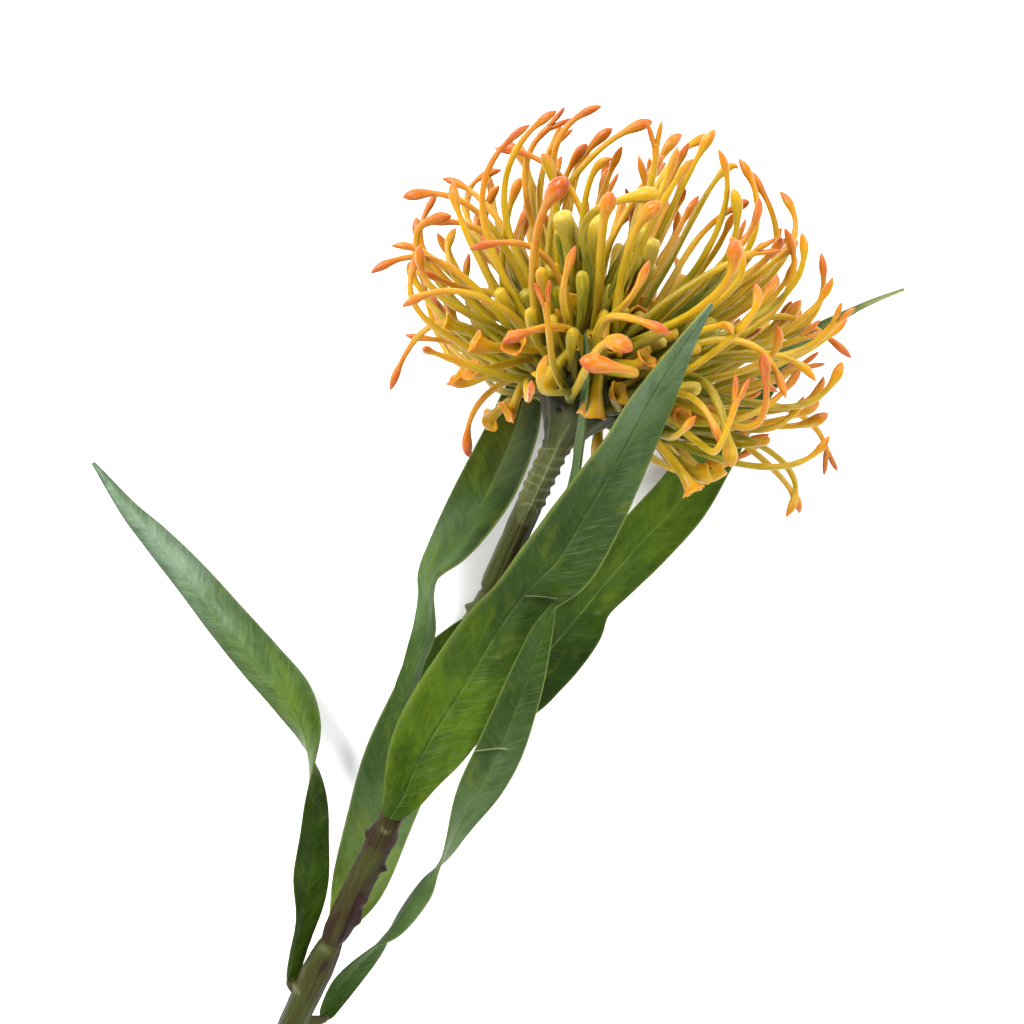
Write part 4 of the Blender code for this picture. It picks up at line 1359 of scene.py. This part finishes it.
def bark_paint(S, A, T):
    """Hue from olive at 0 over brown to purple at 1, with painted shade mixed in, paleness with a painted
    highlight, and greyness, across and along.
    """
    face = np.clip(np.sin(A) * 4 + 1, 0, 1)
    # the lower segment browner towards its right side and its left edge: partly its own colour, partly
    # painted shade
    low = 0.1 + 0.28 * grown(T, 1.2, 1.2) + 0.15 * grown(-T, 2.6, 1.2)
    low = low + 0.25 * near(T, -0.1, 0.4) * ramped(S, 57, 67, 3)
    low = low + 0.45 * near(S, 66.5, 1.4) * near(T, 0.5, 0.8)
    mid = 0.3 + 0.1 * ramped(S, 70, 84, 3) + 0.22 * near(S, 74.5, 4) * near(T, -1.9, 1.1)
    mid = mid - 0.22 * near(T, -0.3, 0.4) * ramped(S, 73, 84, 2)
    # the middle segment darker towards its right side: partly its own purple brown, partly painted shade
    mid = mid + 0.42 * grown(T, 0.7, 0.6) * ramped(S, 70, 85, 2)
    mid = mid + 0.32 * near(S, 83, 1.1) * grown(T, 0.8, 0.8)
    mid = mid - 0.27 * near(S, 90.5, 4) * near(T, 0.6, 1.7)
    mid = mid + 0.28 * ramped(S, 95.5, 99.6, 1) + 0.3 * grown(T, 2.4, 0.8) * ramped(S, 85, 98, 2)
    mid = mid + 0.15 * ramped(S, 99.8, 106, 0.6)
    # the upper segment: a purple-brown patch right of the seam, and its right edge darker with painted shade
    top = 0.12 + 0.4 * near(S, 168, 4.5) * ramped(T, 0.7, 2.4, 0.5) + 0.2 * grown(T, 1.8, 0.8)
    top = top + 0.5 * near(S, UPPER_JOINT - 0.1, 0.45) + 0.2 * near(S, 173.5, 0.5) * near(T, 0.3, 1.4)
    # the cup: painted shade that darkens it towards the rim under the florets and on its left side, and
    # painted light on its upper right
    top = top + 0.3 * grown(S, CUP_FROM, 6) + 0.55 * around(A, math.pi, 0.9) * (S > CUP_FROM)
    top = top + 0.35 * near(S, RIM_AT, 1.5) - 0.6 * near(S, 198, 5) * around(A, 0.9, 0.9)
    hue_and_shading = np.where(S < LOWER_JOINT, low, np.where(S < SHEATH_END, mid, top))
    scar = np.hypot((S - SCAR_AT) / 2.1, (T - SCAR_SIDE) / 1.8)
    oval = np.clip(1.3 - scar, 0, 0.4) / 0.4
    ring = near(scar, 1.1, 0.14) * (S < 177)
    hue_and_shading = hue_and_shading + (0.25 * ring - 0.25 * oval) * face
    # painted shade inside the hole
    hue_and_shading = hue_and_shading + 0.35 * near(S, HOLE_AT, 0.6) * around(A, HOLE_ANGLE, 0.09)
    # pale scars below the neck, the pale rim of the torn sheath, and a painted highlight on a knob
    pale = 0.14 * near(S, 69.7 - 0.12 * (T + 1) ** 2, 0.6) * ramped(T, -2.5, 0.7, 0.8)
    pale = pale + 0.15 * near(S, 62.5, 1.8) * near(T, -3.5, 0.5)
    pale = pale + 0.25 * near(S, 58.2, 0.6) * ramped(T, -4.6, -2.2, 0.6)
    rim = near(S, sheath_edge(A) - 0.2, 0.3) * ramped(T, -1.1, 1.9, 0.6) * (0.6 + 0.4 * np.sin(6 * T + 1))
    pale = pale + 0.35 * rim + 0.5 * near(S, 81.6, 0.35) * near(T, 3.3, 0.4)
    pale = pale + 0.22 * near(T, 0.35, 0.22) * ramped(S, 159, 174, 2)
    # the pale seam and the rungs to both sides of it
    broken = 0.75 + 0.25 * np.sin(S * 5.1) * np.sin(S * 1.7)
    seam = near(T, SEAM + 0.05 * np.sin(S * 2.4), 0.17) * ramped(S, 177.5, 199, 1.5)
    pale = pale + 0.75 * seam * broken
    wobble = 0.16 * np.sin(2.3 * T) + 0.07 * np.sin(7 * T + S)
    rung = np.cos(2 * math.pi * (S + wobble - 180.0) / RIB_PITCH)
    rungs = grown(rung, 0.45, 0.55) * ramped(T, SEAM, 3.2, 0.4) * ramped(S, 178.5, 192, 1)
    pale = pale + 0.16 * oval + 0.34 * rungs
    for place, slant, strength in LEFT_RUNGS:
        pale = pale + strength * near(S + wobble, place + slant * T, 0.17) * ramped(T, -2.7, SEAM, 0.3)
    pale = pale + 0.5 * near(S, 178.6 - 0.3 * (T - SCAR_SIDE) ** 2, 0.22) * ramped(T, -1.6, 2.4, 0.5)
    pale = pale + 0.18 * ramped(S, 178, 192, 2) * near(T, 0.9, 0.7)
    grey = ramped(S, 177.5, 300, 3) * (1 - oval)
    return np.clip(np.stack((hue_and_shading, pale * face, grey), axis=-1), 0, 1)


def add_stub(shape, name):
    """The short stalk that a leaf grows from, out of the bark and into its base."""
    line, _, widths = leaf_frame(name, BLADE_STEPS)
    (place, *_), _ = LEAVES[name]
    centre, way, _ = stem_point(place - 1.6)
    side = unit(np.cross(way, (0.0, 0.0, 1.0)))
    root = centre + side * read(BARK_ASIDE, place)
    tip = line[0] + unit(line[6] - line[0]) * 1.3
    path = smooth_line([root, 0.45 * root + 0.55 * line[0] - 0.3 * way, line[0], tip], STUB_STEPS)
    size = min(1.05, 0.3 * widths[0] + 0.5)
    radii = size * np.interp(np.linspace(0, 1, STUB_STEPS), (0, 0.5, 0.85, 1), (1.5, 1.1, 0.85, 0.3))
    shape.add_round(tube_points(path, radii, STUB_SIDES, 0.7), 0.2, 0.08, lengths_along(path), place)


def make_stem(finish):
    """The cut end, the bark, the cup and the dome as one skin, and the leaves' stalks."""
    below = np.arange(0, NECK_FROM, BARK_STEP)
    s = np.concatenate((below, np.arange(NECK_FROM, RIM_AT + NECK_STEP / 2, NECK_STEP)))
    angle = turns(BARK_SIDES)
    S, A = np.meshgrid(s, angle, indexing="ij")
    radius = bark_radius(S, A)
    cup = grown(s, CUP_FROM, 4)
    half_width, plain, shift = (
        smoothed(table, s, BARK_SHIFTS) for table in (BARK_HALF_WIDTH, STEM_PROFILE, BARK_ASIDE)
    )
    squeezed = half_width / plain * (1 - cup) + cup
    shift = shift * (1 - cup)
    centres, sides, ups = [], [], []
    for place in s:
        centre, way, _ = stem_point(place)
        blend = grown(place, CUP_FROM, 10)
        way = unit(way * (1 - blend) + ALONG * blend)
        side = unit(np.cross(way, (0.0, 0.0, 1.0)))
        centres.append(centre)
        sides.append(side)
        ups.append(np.cross(side, way))
    centres, sides, ups = (np.array(v) for v in (centres, sides, ups))
    T = shift[:, None] + squeezed[:, None] * radius * np.cos(A)
    bark = centres[:, None] + T[..., None] * sides[:, None] + (radius * np.sin(A))[..., None] * ups[:, None]
    # the dome, with low cushions between the sprigs
    polar = 0.5 * math.pi * np.arange(1, DOME_RINGS + 1) / (DOME_RINGS + 1)
    P, Q = np.meshgrid(polar, angle, indexing="ij")
    out = np.cos(P)[..., None] * (np.cos(Q)[..., None] * ACROSS + np.sin(Q)[..., None] * UPWARD)
    out = out + np.sin(P)[..., None] * ALONG
    cushions = DOME_RADIUS + 0.2 * np.sin(9 * Q + 0.4) * np.cos(P) ** 4
    cushions = cushions + 0.12 * np.sin(7 * Q) * np.sin(9 * P)
    dome = RIM + out * cushions[..., None]
    middle = bark[0].mean(axis=0)
    cut = [middle + share * (bark[0] - middle) for share in CUT_RINGS]
    cut_rows, dome_rows = (len(CUT_RINGS), BARK_SIDES), (DOME_RINGS, BARK_SIDES)
    place = (triple(0.2, 0.7, 0.0, cut_rows), bark_paint(S, A, T), triple(0.45, 0.0, 1.0, dome_rows))
    gone = np.concatenate((np.full(cut_rows, -1.0), S, RIM_AT + 8 * P))
    shape = Shape()
    shape.add_grid(
        np.concatenate((cut, bark, dome)),
        np.concatenate(place),
        triple(gone, 4 * np.cos(angle), 4 * np.sin(angle), gone.shape),
    )
    for name in LEAVES:
        if name != "leaf_front":
            add_stub(shape, name)
    shape.piece("stem_bark", finish, "stem", "stem")


# ---- materials ----------------------------------------------------------------------------

# Colours are written as they show on a screen; this share of them is what a surface returns
RETURNED = 0.39


def paint(r, g, b):
    linear = [((v / 255 + 0.055) / 1.055) ** 2.4 if v > 10 else v / 255 / 12.92 for v in (r, g, b)]
    return (*(RETURNED * v for v in linear), 1)


class Graph:
    """A material's nodes, added by kind and linked by naming their inputs."""

    def __init__(self, name, **surface):
        self.material = bpy.data.materials.new(name)
        self.material.use_nodes = True
        self.nodes = self.material.node_tree.nodes
        self.links = self.material.node_tree.links
        self.surface = self.nodes["Principled BSDF"]
        self.feed(self.surface, surface)

    def feed(self, node, values):
        for key, value in values.items():
            socket = node.inputs[key if isinstance(key, int) else key.replace("_", " ")]
            if isinstance(value, bpy.types.NodeSocket):
                self.links.new(value, socket)
            else:
                socket.default_value = value

    def node(self, kind, inputs=None, **settings):
        made = self.nodes.new("ShaderNode" + kind)
        for key, value in settings.items():
            setattr(made, key, value)
        self.feed(made, inputs or {})
        return made

    def attribute(self, name):
        held = self.node("Attribute", attribute_name=name)
        parts = self.node("SeparateXYZ", {0: held.outputs["Vector"]})
        return held.outputs["Vector"], parts.outputs

    def sums(self, kind, a, b=0.0, clamp=False):
        return self.node("Math", {0: a, 1: b}, operation=kind, use_clamp=clamp).outputs[0]

    def times(self, a, b):
        return self.sums("MULTIPLY", a, b)

    def absolute(self, value):
        return self.sums("ABSOLUTE", value)

    def spread(self, value, low, high, to_low=0.0, to_high=1.0):
        """A value from low to high, carried smoothly over to another range."""
        made = self.node("MapRange", {0: value, 1: low, 2: high, 3: to_low, 4: to_high})
        made.interpolation_type = "SMOOTHSTEP"
        return made.outputs[0]

    def mix(self, factor, a, b, kind="MIX"):
        made = self.node("Mix", data_type="RGBA", blend_type=kind)
        self.feed(made, {0: factor, 6: a, 7: b})
        return made.outputs[2]

    def tinted(self, factor, colour, tint):
        return self.mix(factor, colour, tint, "MULTIPLY")

    def ramp(self, value, stops):
        made = self.node("ValToRGB", {0: value})
        points = made.color_ramp.elements
        while len(points) < len(stops):
            points.new(0.5)
        for point, (at, colour) in zip(points, stops):
            point.position = at
            point.color = colour
        return made.outputs[0]

    def noise(self, vector, factors, detail=2.0, rough=0.5):
        """Noise over a vector whose parts are multiplied by factors: a small one makes it long."""
        moved = self.node("VectorMath", {0: vector, 1: factors}, operation="MULTIPLY").outputs[0]
        wanted = {"Vector": moved, "Scale": 1.0, "Detail": detail, "Roughness": rough}
        return self.node("TexNoise", wanted).outputs[0]

    def finished(self, colour, roughness, height, strength, distance):
        """The material, with its surface fed and a bump on it."""
        bump = self.node("Bump", {"Height": height, "Strength": strength, "Distance": distance})
        wanted = {"Base Color": colour, "Roughness": roughness, "Normal": bump.outputs[0]}
        self.feed(self.surface, wanted)
        return self.material


FLORET_RAMP = [
    (0.0, paint(106, 116, 0)),
    (0.14, paint(158, 148, 0)),
    (0.3, paint(208, 174, 4)),
    (0.45, paint(230, 182, 12)),
    (0.58, paint(234, 166, 18)),
    (0.72, paint(230, 138, 22)),
    (0.86, paint(222, 110, 30)),
    (1.0, paint(198, 84, 34)),
]


def floret_material():
    """Waxy moulded plastic: olive where a floret starts, gold along it, salmon at its tip, with painted shade
    near the dome and in the throats, and painted highlights.
    """
    g = Graph("floret", Roughness=0.34, Subsurface_Weight=0.4, Subsurface_Radius=(1.0, 0.7, 0.1))
    g.feed(g.surface, {"Subsurface Scale": 0.0016, "Specular IOR Level": 0.2})
    g.feed(g.surface, {"Sheen Weight": 0.03, "Sheen Roughness": 0.5, "Sheen Tint": (1, 0.9, 0.7, 1)})
    _, (heat, shade, _) = g.attribute("place")
    grain, _ = g.attribute("grain")
    patches = g.noise(grain, (0.09, 0.6, 0.9), detail=3)
    streaks = g.noise(grain, (0.35, 5.0, 5.0))
    moved = g.sums("ADD", heat, g.spread(patches, 0.3, 0.7, -0.09, 0.09))
    moved = g.sums("ADD", moved, g.spread(streaks, 0.35, 0.65, -0.04, 0.04), clamp=True)
    colour = g.ramp(moved, FLORET_RAMP)
    # painted highlights: pale gold spots scattered by noise
    light = g.spread(g.noise(grain, (0.25, 2.0, 2.0)), 0.5, 0.72, 0.0, 0.25)
    colour = g.mix(light, colour, paint(248, 212, 90))
    # painted shade: dark olive where the shade in the place attribute is above 0, near the dome and down the
    # trumpets' throats; below 0 it is the buds' own cream
    colour = g.mix(g.sums("MAXIMUM", shade, 0.0), colour, paint(70, 72, 8))
    creamy = g.sums("MAXIMUM", g.times(shade, -1.0), 0.0)
    colour = g.mix(creamy, colour, paint(238, 216, 96))
    return g.finished(colour, g.spread(patches, 0.3, 0.7, 0.26, 0.42), streaks, 0.35, 0.0002)


def leaf_material(name, greens, shaded, frost_and_sheen, streaks, margin, gloss, rib, crease=None):
    """Satin moulded plastic: greens that drift, herringbone strokes, a frosted bloom that also paints the
    sheen, painted shade at the sides and by a crease, pale margins.
    """
    g = Graph(name, Roughness=0.42)
    g.feed(g.surface, {"Specular IOR Level": 0.04, "Subsurface Weight": 0.08})
    g.feed(g.surface, {"Subsurface Radius": (0.5, 1, 0.2), "Subsurface Scale": 0.0008})
    _, (run, across, _) = g.attribute("place")
    grain, (vein, side, gone) = g.attribute("grain")
    wander = g.spread(g.noise(grain, (0.05, 0.16, 0.05), detail=1), 0.25, 0.75, -0.5, 0.5)
    grain = g.node("CombineXYZ", {0: g.sums("ADD", vein, wander), 1: side, 2: gone}).outputs[0]
    # greens along the leaf, partly painted sheen where they pale towards the tip, and painted shade towards
    # both sides
    clouds = g.noise(grain, (0.05, 0.16, 0.05), detail=3, rough=0.6)
    place = g.sums("ADD", run, g.spread(clouds, 0.25, 0.75, -0.07, 0.07), clamp=True)
    drifts = g.noise(grain, (0.1, 0.05, 0.12))
    sided = g.sums("ADD", across, g.spread(drifts, 0.3, 0.7, -0.09, 0.09))
    steps = len(greens) - 1
    colour = g.ramp(place, [(index / steps, GREENS[green]) for index, green in enumerate(greens)])
    colour = g.mix(g.spread(sided, 0.4, 0.04, 0.0, shaded[0]), colour, GREENS["deep"])
    colour = g.mix(g.spread(sided, 0.6, 0.96, 0.0, shaded[1]), colour, GREENS["deep"])
    depth = g.noise(grain, (0.12, 0.28, 0.04), detail=4, rough=0.62)
    colour = g.tinted(g.spread(depth, 0.46, 0.7, 0.0, 0.6), colour, (0.42, 0.5, 0.3, 1))
    warm = g.noise(grain, (0.08, 0.2, 0.07), detail=3, rough=0.6)
    colour = g.mix(g.spread(warm, 0.54, 0.75, 0.0, 0.4), colour, paint(112, 130, 24))
    # strokes at 45 degrees from the midrib: broad and faint, dark, and hair-fine and frosted; the frosted
    # hairs also paint the leaf's sheen
    broad = g.noise(grain, (0.55, 0.05, 0.01), detail=1)
    fine = g.noise(grain, (1.9, 0.14, 0.03), rough=0.7)
    hairs = g.noise(grain, (3.4, 0.2, 0.05), detail=1)
    halves = [g.spread(place, 0.0, 1.0, base, tip) for base, tip in frost_and_sheen]
    bloom_and_sheen = g.mix(g.spread(across, 0.42, 0.58), *halves)
    patchy = g.spread(drifts, 0.35, 0.6, 0.3, 1.0)
    colour = g.mix(g.spread(broad, 0.5, 0.25, 0.0, 0.7 * streaks[2]), colour, paint(36, 58, 10))
    colour = g.tinted(g.spread(broad, 0.5, 0.72, 0.0, 2 * streaks[1]), colour, (1.8, 1.7, 1.4, 1))
    pale = g.times(g.spread(fine, 0.45, 0.8, 0.0, streaks[0]), patchy)
    colour = g.tinted(pale, colour, (2.3, 2.1, 2.3, 1))
    # frosted hairs, partly painted sheen
    frost_and_sheen_hairs = g.times(g.spread(hairs, 0.5, 0.78, 0.0, 0.42), bloom_and_sheen)
    colour = g.mix(frost_and_sheen_hairs, colour, paint(176, 198, 170))
    # mottling at a finer scale
    speckle = g.noise(grain, (0.9, 1.1, 0.1), detail=4, rough=0.75)
    colour = g.tinted(g.spread(speckle, 0.52, 0.75, 0.0, 0.4), colour, (1.7, 1.6, 1.7, 1))
    colour = g.mix(g.spread(speckle, 0.48, 0.3, 0.0, 0.25), colour, paint(30, 50, 12))
    # midrib, crease and margins; the crease is painted, as shade on one side and a highlight along it
    off_rib = g.absolute(g.sums("ADD", side, g.spread(drifts, 0.3, 0.7, -0.12, 0.12)))
    dark_line = g.times(g.spread(off_rib, 0.32, 0.08, 0.0, rib[0]), patchy)
    colour = g.mix(dark_line, colour, paint(34, 54, 12))
    beside_rib = g.absolute(g.sums("SUBTRACT", side, 0.45))
    pale_line = g.times(g.spread(beside_rib, 0.26, 0.05, 0.0, rib[1]), patchy)
    colour = g.mix(pale_line, colour, paint(150, 172, 96))
    if crease:
        slope, start, low, high, strength = crease
        apart = g.sums("SUBTRACT", gone, g.sums("ADD", g.times(side, slope), start))
        line = g.spread(g.absolute(apart), 0.3, 0.06, 0.0, strength)
        beyond_low = g.spread(side, low - 0.5, low + 0.5)
        inside = g.times(beyond_low, g.spread(side, high + 0.3, high - 0.3))
        painted_crease_shade = g.times(g.spread(apart, -2.6, -0.2, 0.0, 0.55), g.spread(apart, 0.1, -0.1))
        # painted shade beside the crease, then a painted highlight along it
        colour = g.mix(g.times(painted_crease_shade, inside), colour, paint(30, 50, 14))
        colour = g.mix(g.times(line, inside), colour, paint(196, 208, 168))
    rim = g.sums("SUBTRACT", across, 0.5)
    for turn, (start, base, tip) in zip((-1, 1), margin):
        reach = g.spread(g.times(rim, turn), start, 0.493)
        strength = g.spread(place, 0.0, 1.0, base, tip)
        colour = g.mix(g.times(reach, strength), colour, GREENS["edge"])
    colour = g.tinted(1.0, colour, (0.97, 0.97, 0.84, 1))
    roughness = g.spread(speckle, 0.3, 0.7, gloss, gloss + 0.16)
    return g.finished(colour, roughness, g.sums("ADD", g.times(fine, 0.7), broad), 0.25, 0.0004)


# From olive over brown to purple, and from the neck's pale grey to black
BARK_RAMP = [
    (0.0, paint(70, 78, 32)),
    (0.3, paint(66, 59, 30)),
    (0.55, paint(56, 37, 16)),
    (0.8, paint(38, 17, 8)),
    (1.0, paint(60, 14, 18)),
]
NECK_RAMP = [
    (0.0, paint(106, 110, 70)),
    (0.4, paint(78, 80, 46)),
    (0.7, paint(54, 52, 30)),
    (1.0, paint(14, 12, 8)),
]


def stem_material():
    """Olive to brown bark, fibrous, greyer towards the cup, with pale scars and ribs, and with painted shade
    and a painted highlight that its place attribute carries.
    """
    g = Graph("stem", Roughness=0.5)
    g.feed(g.surface, {"Specular IOR Level": 0.08, "Sheen Weight": 0.01, "Sheen Roughness": 0.5})
    _, (hue_and_shading, pale, grey) = g.attribute("place")
    grain, _ = g.attribute("grain")
    fibres = g.noise(grain, (0.1, 1.6, 1.6), detail=4, rough=0.65)
    blotches = g.noise(grain, (0.13, 0.35, 0.35), detail=3)
    # the hue carries painted shade as well as the bark's colour, and the paleness a painted highlight
    moved = g.sums("ADD", hue_and_shading, g.spread(fibres, 0.3, 0.7, -0.14, 0.14))
    moved = g.sums("ADD", moved, g.spread(blotches, 0.3, 0.7, -0.14, 0.14), clamp=True)
    colour = g.mix(grey, g.ramp(moved, BARK_RAMP), g.ramp(moved, NECK_RAMP))
    colour = g.mix(g.spread(fibres, 0.58, 0.76, 0.0, 0.2), colour, paint(120, 118, 84))
    colour = g.mix(pale, colour, paint(176, 178, 150))
    colour = g.tinted(1.0, colour, (0.96, 0.98, 0.72, 1))
    return g.finished(colour, g.spread(fibres, 0.3, 0.7, 0.38, 0.6), fibres, 0.5, 0.0004)


# The greens of the leaves; the pale bluish greens that they turn towards their tips are partly their own tone
# and partly painted sheen, and deep is also the painted shade along their sides
GREENS = {
    "olive": paint(50, 78, 8),
    "fresh": paint(92, 122, 28),
    "deep": paint(30, 52, 10),
    "leaf": paint(60, 87, 32),
    "sheen_grey_green": paint(98, 126, 78),
    "pale": paint(134, 160, 140),
    "lime": paint(138, 158, 56),
    "dry": paint(78, 82, 12),
    "light": paint(186, 198, 142),
    "edge": paint(156, 170, 96),
}

# For each leaf: its greens from base to tip, how much painted shade each side takes, how frosted
# each half is at the base and at the tip (the frost also paints the sheen), the strength of pale,
# broad and dark strokes, each margin's start and its strength at both ends, the gloss, the midrib's
# dark and pale lines, a crease's slope, distance, two sides and strength (the crease is painted as
# shade and a highlight), and the height of veins along the leaf
LEAF_LOOKS = {
    "leaf_left": dict(
        greens=("fresh", "leaf", "fresh", "sheen_grey_green", "pale", "pale"), shaded=(0.5, 0.45),
        frost_and_sheen=((0.1, 0.7), (0.1, 0.5)), streaks=(0.3, 0.12, 0.16),
        margin=((0.47, 0.1, 0.2), (0.47, 0.1, 0.3)), gloss=0.28, rib=(0.0, 0.0),
        veins=((0, 0.3), (0.3, 0.7), (0.45, 2.4), (0.75, 2.2), (1, 0.8)),
    ),
    "leaf_front": dict(
        greens=("olive", "fresh", "leaf", "leaf", "sheen_grey_green", "pale"), shaded=(0.0, 0.1),
        frost_and_sheen=((0.1, 0.3), (0.3, 0.5)), streaks=(0.12, 0.08, 0.08),
        margin=((0.4, 0.2, 0.8), (0.462, 0.3, 0.7)), gloss=0.32, rib=(0.55, 0.2),
        crease=(0.71, 58.5, 0.8, 6.2, 0.4),
        veins=((0, 0.1), (0.12, 0.3), (0.3, 1.2), (0.6, 1.2), (0.9, 0.8), (1, 0.2)),
    ),
    "leaf_right": dict(
        greens=("olive", "sheen_grey_green", "sheen_grey_green", "leaf", "leaf"), shaded=(0.1, 0.1),
        frost_and_sheen=((0.2, 0.2), (0.3, 0.3)), streaks=(0.14, 0.08, 0.12),
        margin=((0.45, 0.2, 0.4), (0.455, 0.2, 0.8)), gloss=0.28, rib=(0.12, 0.1),
        crease=(0.25, 79.7, -5.2, 1.8, 0.6),
        veins=((0, 0.4), (0.5, 1.0), (0.85, 1.2), (1, 0.2)),
    ),
    "leaf_left_back": dict(
        greens=("olive", "leaf", "sheen_grey_green", "leaf", "dry", "dry"), shaded=(0.0, 0.8),
        frost_and_sheen=((0.2, 0.1), (0.1, 0.0)), streaks=(0.08, 0.08, 0.1),
        margin=((0.46, 0.2, 0.3), (0.44, 0.2, 0.6)), gloss=0.32, rib=(0.1, 0.15),
        veins=((0, 0.3), (0.5, 0.8), (0.9, 0.6), (1, 0.2)),
    ),
    "leaf_right_back": dict(
        greens=("deep", "leaf", "fresh", "leaf", "light"), shaded=(0.2, 0.3),
        frost_and_sheen=((0.1, 0.1), (0.1, 0.2)), streaks=(0.12, 0.1, 0.1),
        margin=((0.46, 0.3, 0.4), (0.458, 0.1, 0.8)), gloss=0.34, rib=(0.0, 0.45),
        veins=((0, 0.4), (0.4, 1.0), (0.8, 0.8), (1, 0.2)),
    ),
    "leaf_young": dict(
        greens=("leaf", "sheen_grey_green"), shaded=(0.1, 0.0),
        frost_and_sheen=((0.1, 0.2), (0.1, 0.2)), streaks=(0.1, 0.06, 0.06),
        margin=((0.4, 0.4, 0.4), (0.4, 0.4, 0.4)), gloss=0.36, rib=(0.2, 0.1),
        veins=((0, 0.4), (1, 0.4)),
    ),
    "leaf_low_back": dict(
        greens=("lime", "sheen_grey_green", "leaf", "leaf"), shaded=(0.1, 0.1),
        frost_and_sheen=((0.1, 0.2), (0.1, 0.1)), streaks=(0.1, 0.1, 0.1),
        margin=((0.45, 0.4, 0.3), (0.45, 0.4, 0.3)), gloss=0.36, rib=(0.1, 0.1),
        veins=((0, 0.5), (1, 0.5)),
    ),
}


# ---- surface, light and camera ------------------------------------------------------------

CAMERA_PLACE = (0.015714, 0.042856, 0.655)
CAMERA_ROLL = math.radians(24)
LENS, SENSOR = 100, 36
NEAREST_SEEN = 0.01
FLOOR_HALF, FLOOR_DEPTH = 3.0, -0.0001
# Area lights: place to the right, up and above as the camera sees them, size and power
LIGHTS = {
    "key": ((-0.8, 0.6, 0.9), 0.9, 40),
    "fill": ((1.0, 0.15, 0.75), 1.0, 19),
    "low": ((0.0, -1.05, 0.7), 1.0, 17),
    "crown": ((0.25, 1.1, 0.7), 0.9, 17),
    "spark": ((-0.45, 0.5, 1.1), 0.14, 7),
}
LIT = (0, 0.04, 0.03)
# The sky's colours, and the height at which each begins
HORIZON = 0.12, (0.8, 0.82, 0.85, 1)
ZENITH = 0.6, (0.1, 0.105, 0.11, 1)


def make_floor():
    """A wide pale surface just below the flower."""
    mesh = bpy.data.meshes.new("floor")
    corners = [(x * FLOOR_HALF, y * FLOOR_HALF, FLOOR_DEPTH) for x, y in ((-1, -1), (1, -1), (1, 1), (-1, 1))]
    mesh.from_pydata(corners, [], [(0, 1, 2, 3)])
    g = Graph("floor", Base_Color=(0.95, 0.95, 0.95, 1), Roughness=0.9)
    g.feed(g.surface, {"Specular IOR Level": 0.1})
    mesh.materials.append(g.material)
    floor = placed("floor", mesh)


def make_lights():
    """Soft lights all round, and a sky that is bright near the horizon."""
    right = (math.cos(CAMERA_ROLL), math.sin(CAMERA_ROLL))
    for name, ((across, up, height), size, power) in LIGHTS.items():
        light = bpy.data.lights.new(name, "AREA")
        light.shape = "DISK"
        light.size = size
        light.energy = power
        x = across * right[0] - up * right[1]
        y = across * right[1] + up * right[0]
        made = placed(name, light)
        made.location = (x, y + LIT[1], height)
        made.rotation_euler = (Vector(LIT) - made.location).to_track_quat("-Z", "Y").to_euler()
    world = bpy.data.worlds.new("studio")
    world.use_nodes = True
    nodes, links = world.node_tree.nodes, world.node_tree.links
    where = nodes.new("ShaderNodeTexCoord")
    parts = nodes.new("ShaderNodeSeparateXYZ")
    fade = nodes.new("ShaderNodeValToRGB")
    for stop, (position, colour) in zip(fade.color_ramp.elements, (HORIZON, ZENITH)):
        stop.position, stop.color = position, colour
    links.new(where.outputs["Generated"], parts.inputs[0])
    links.new(parts.outputs["Z"], fade.inputs[0])
    links.new(fade.outputs[0], nodes["Background"].inputs["Color"])
    bpy.context.scene.world = world


def make_camera():
    """Straight above the flower and turned, so that the stem rises to the right."""
    lens = bpy.data.cameras.new("camera")
    lens.lens = LENS
    lens.sensor_width = SENSOR
    lens.clip_start = NEAREST_SEEN
    camera = placed("camera", lens)
    camera.location = CAMERA_PLACE
    camera.rotation_euler = (0, 0, CAMERA_ROLL)
    bpy.context.scene.camera = camera


def main():
    bpy.context.scene.view_settings.view_transform = "Standard"
    make_camera()
    make_floor()
    make_lights()
    make_stem(stem_material())
    for name in LEAVES:
        looks = dict(LEAF_LOOKS[name])
        veins = looks.pop("veins")
        make_leaf(name, leaf_material(name, **looks), veins)
    make_florets(floret_material())


main()
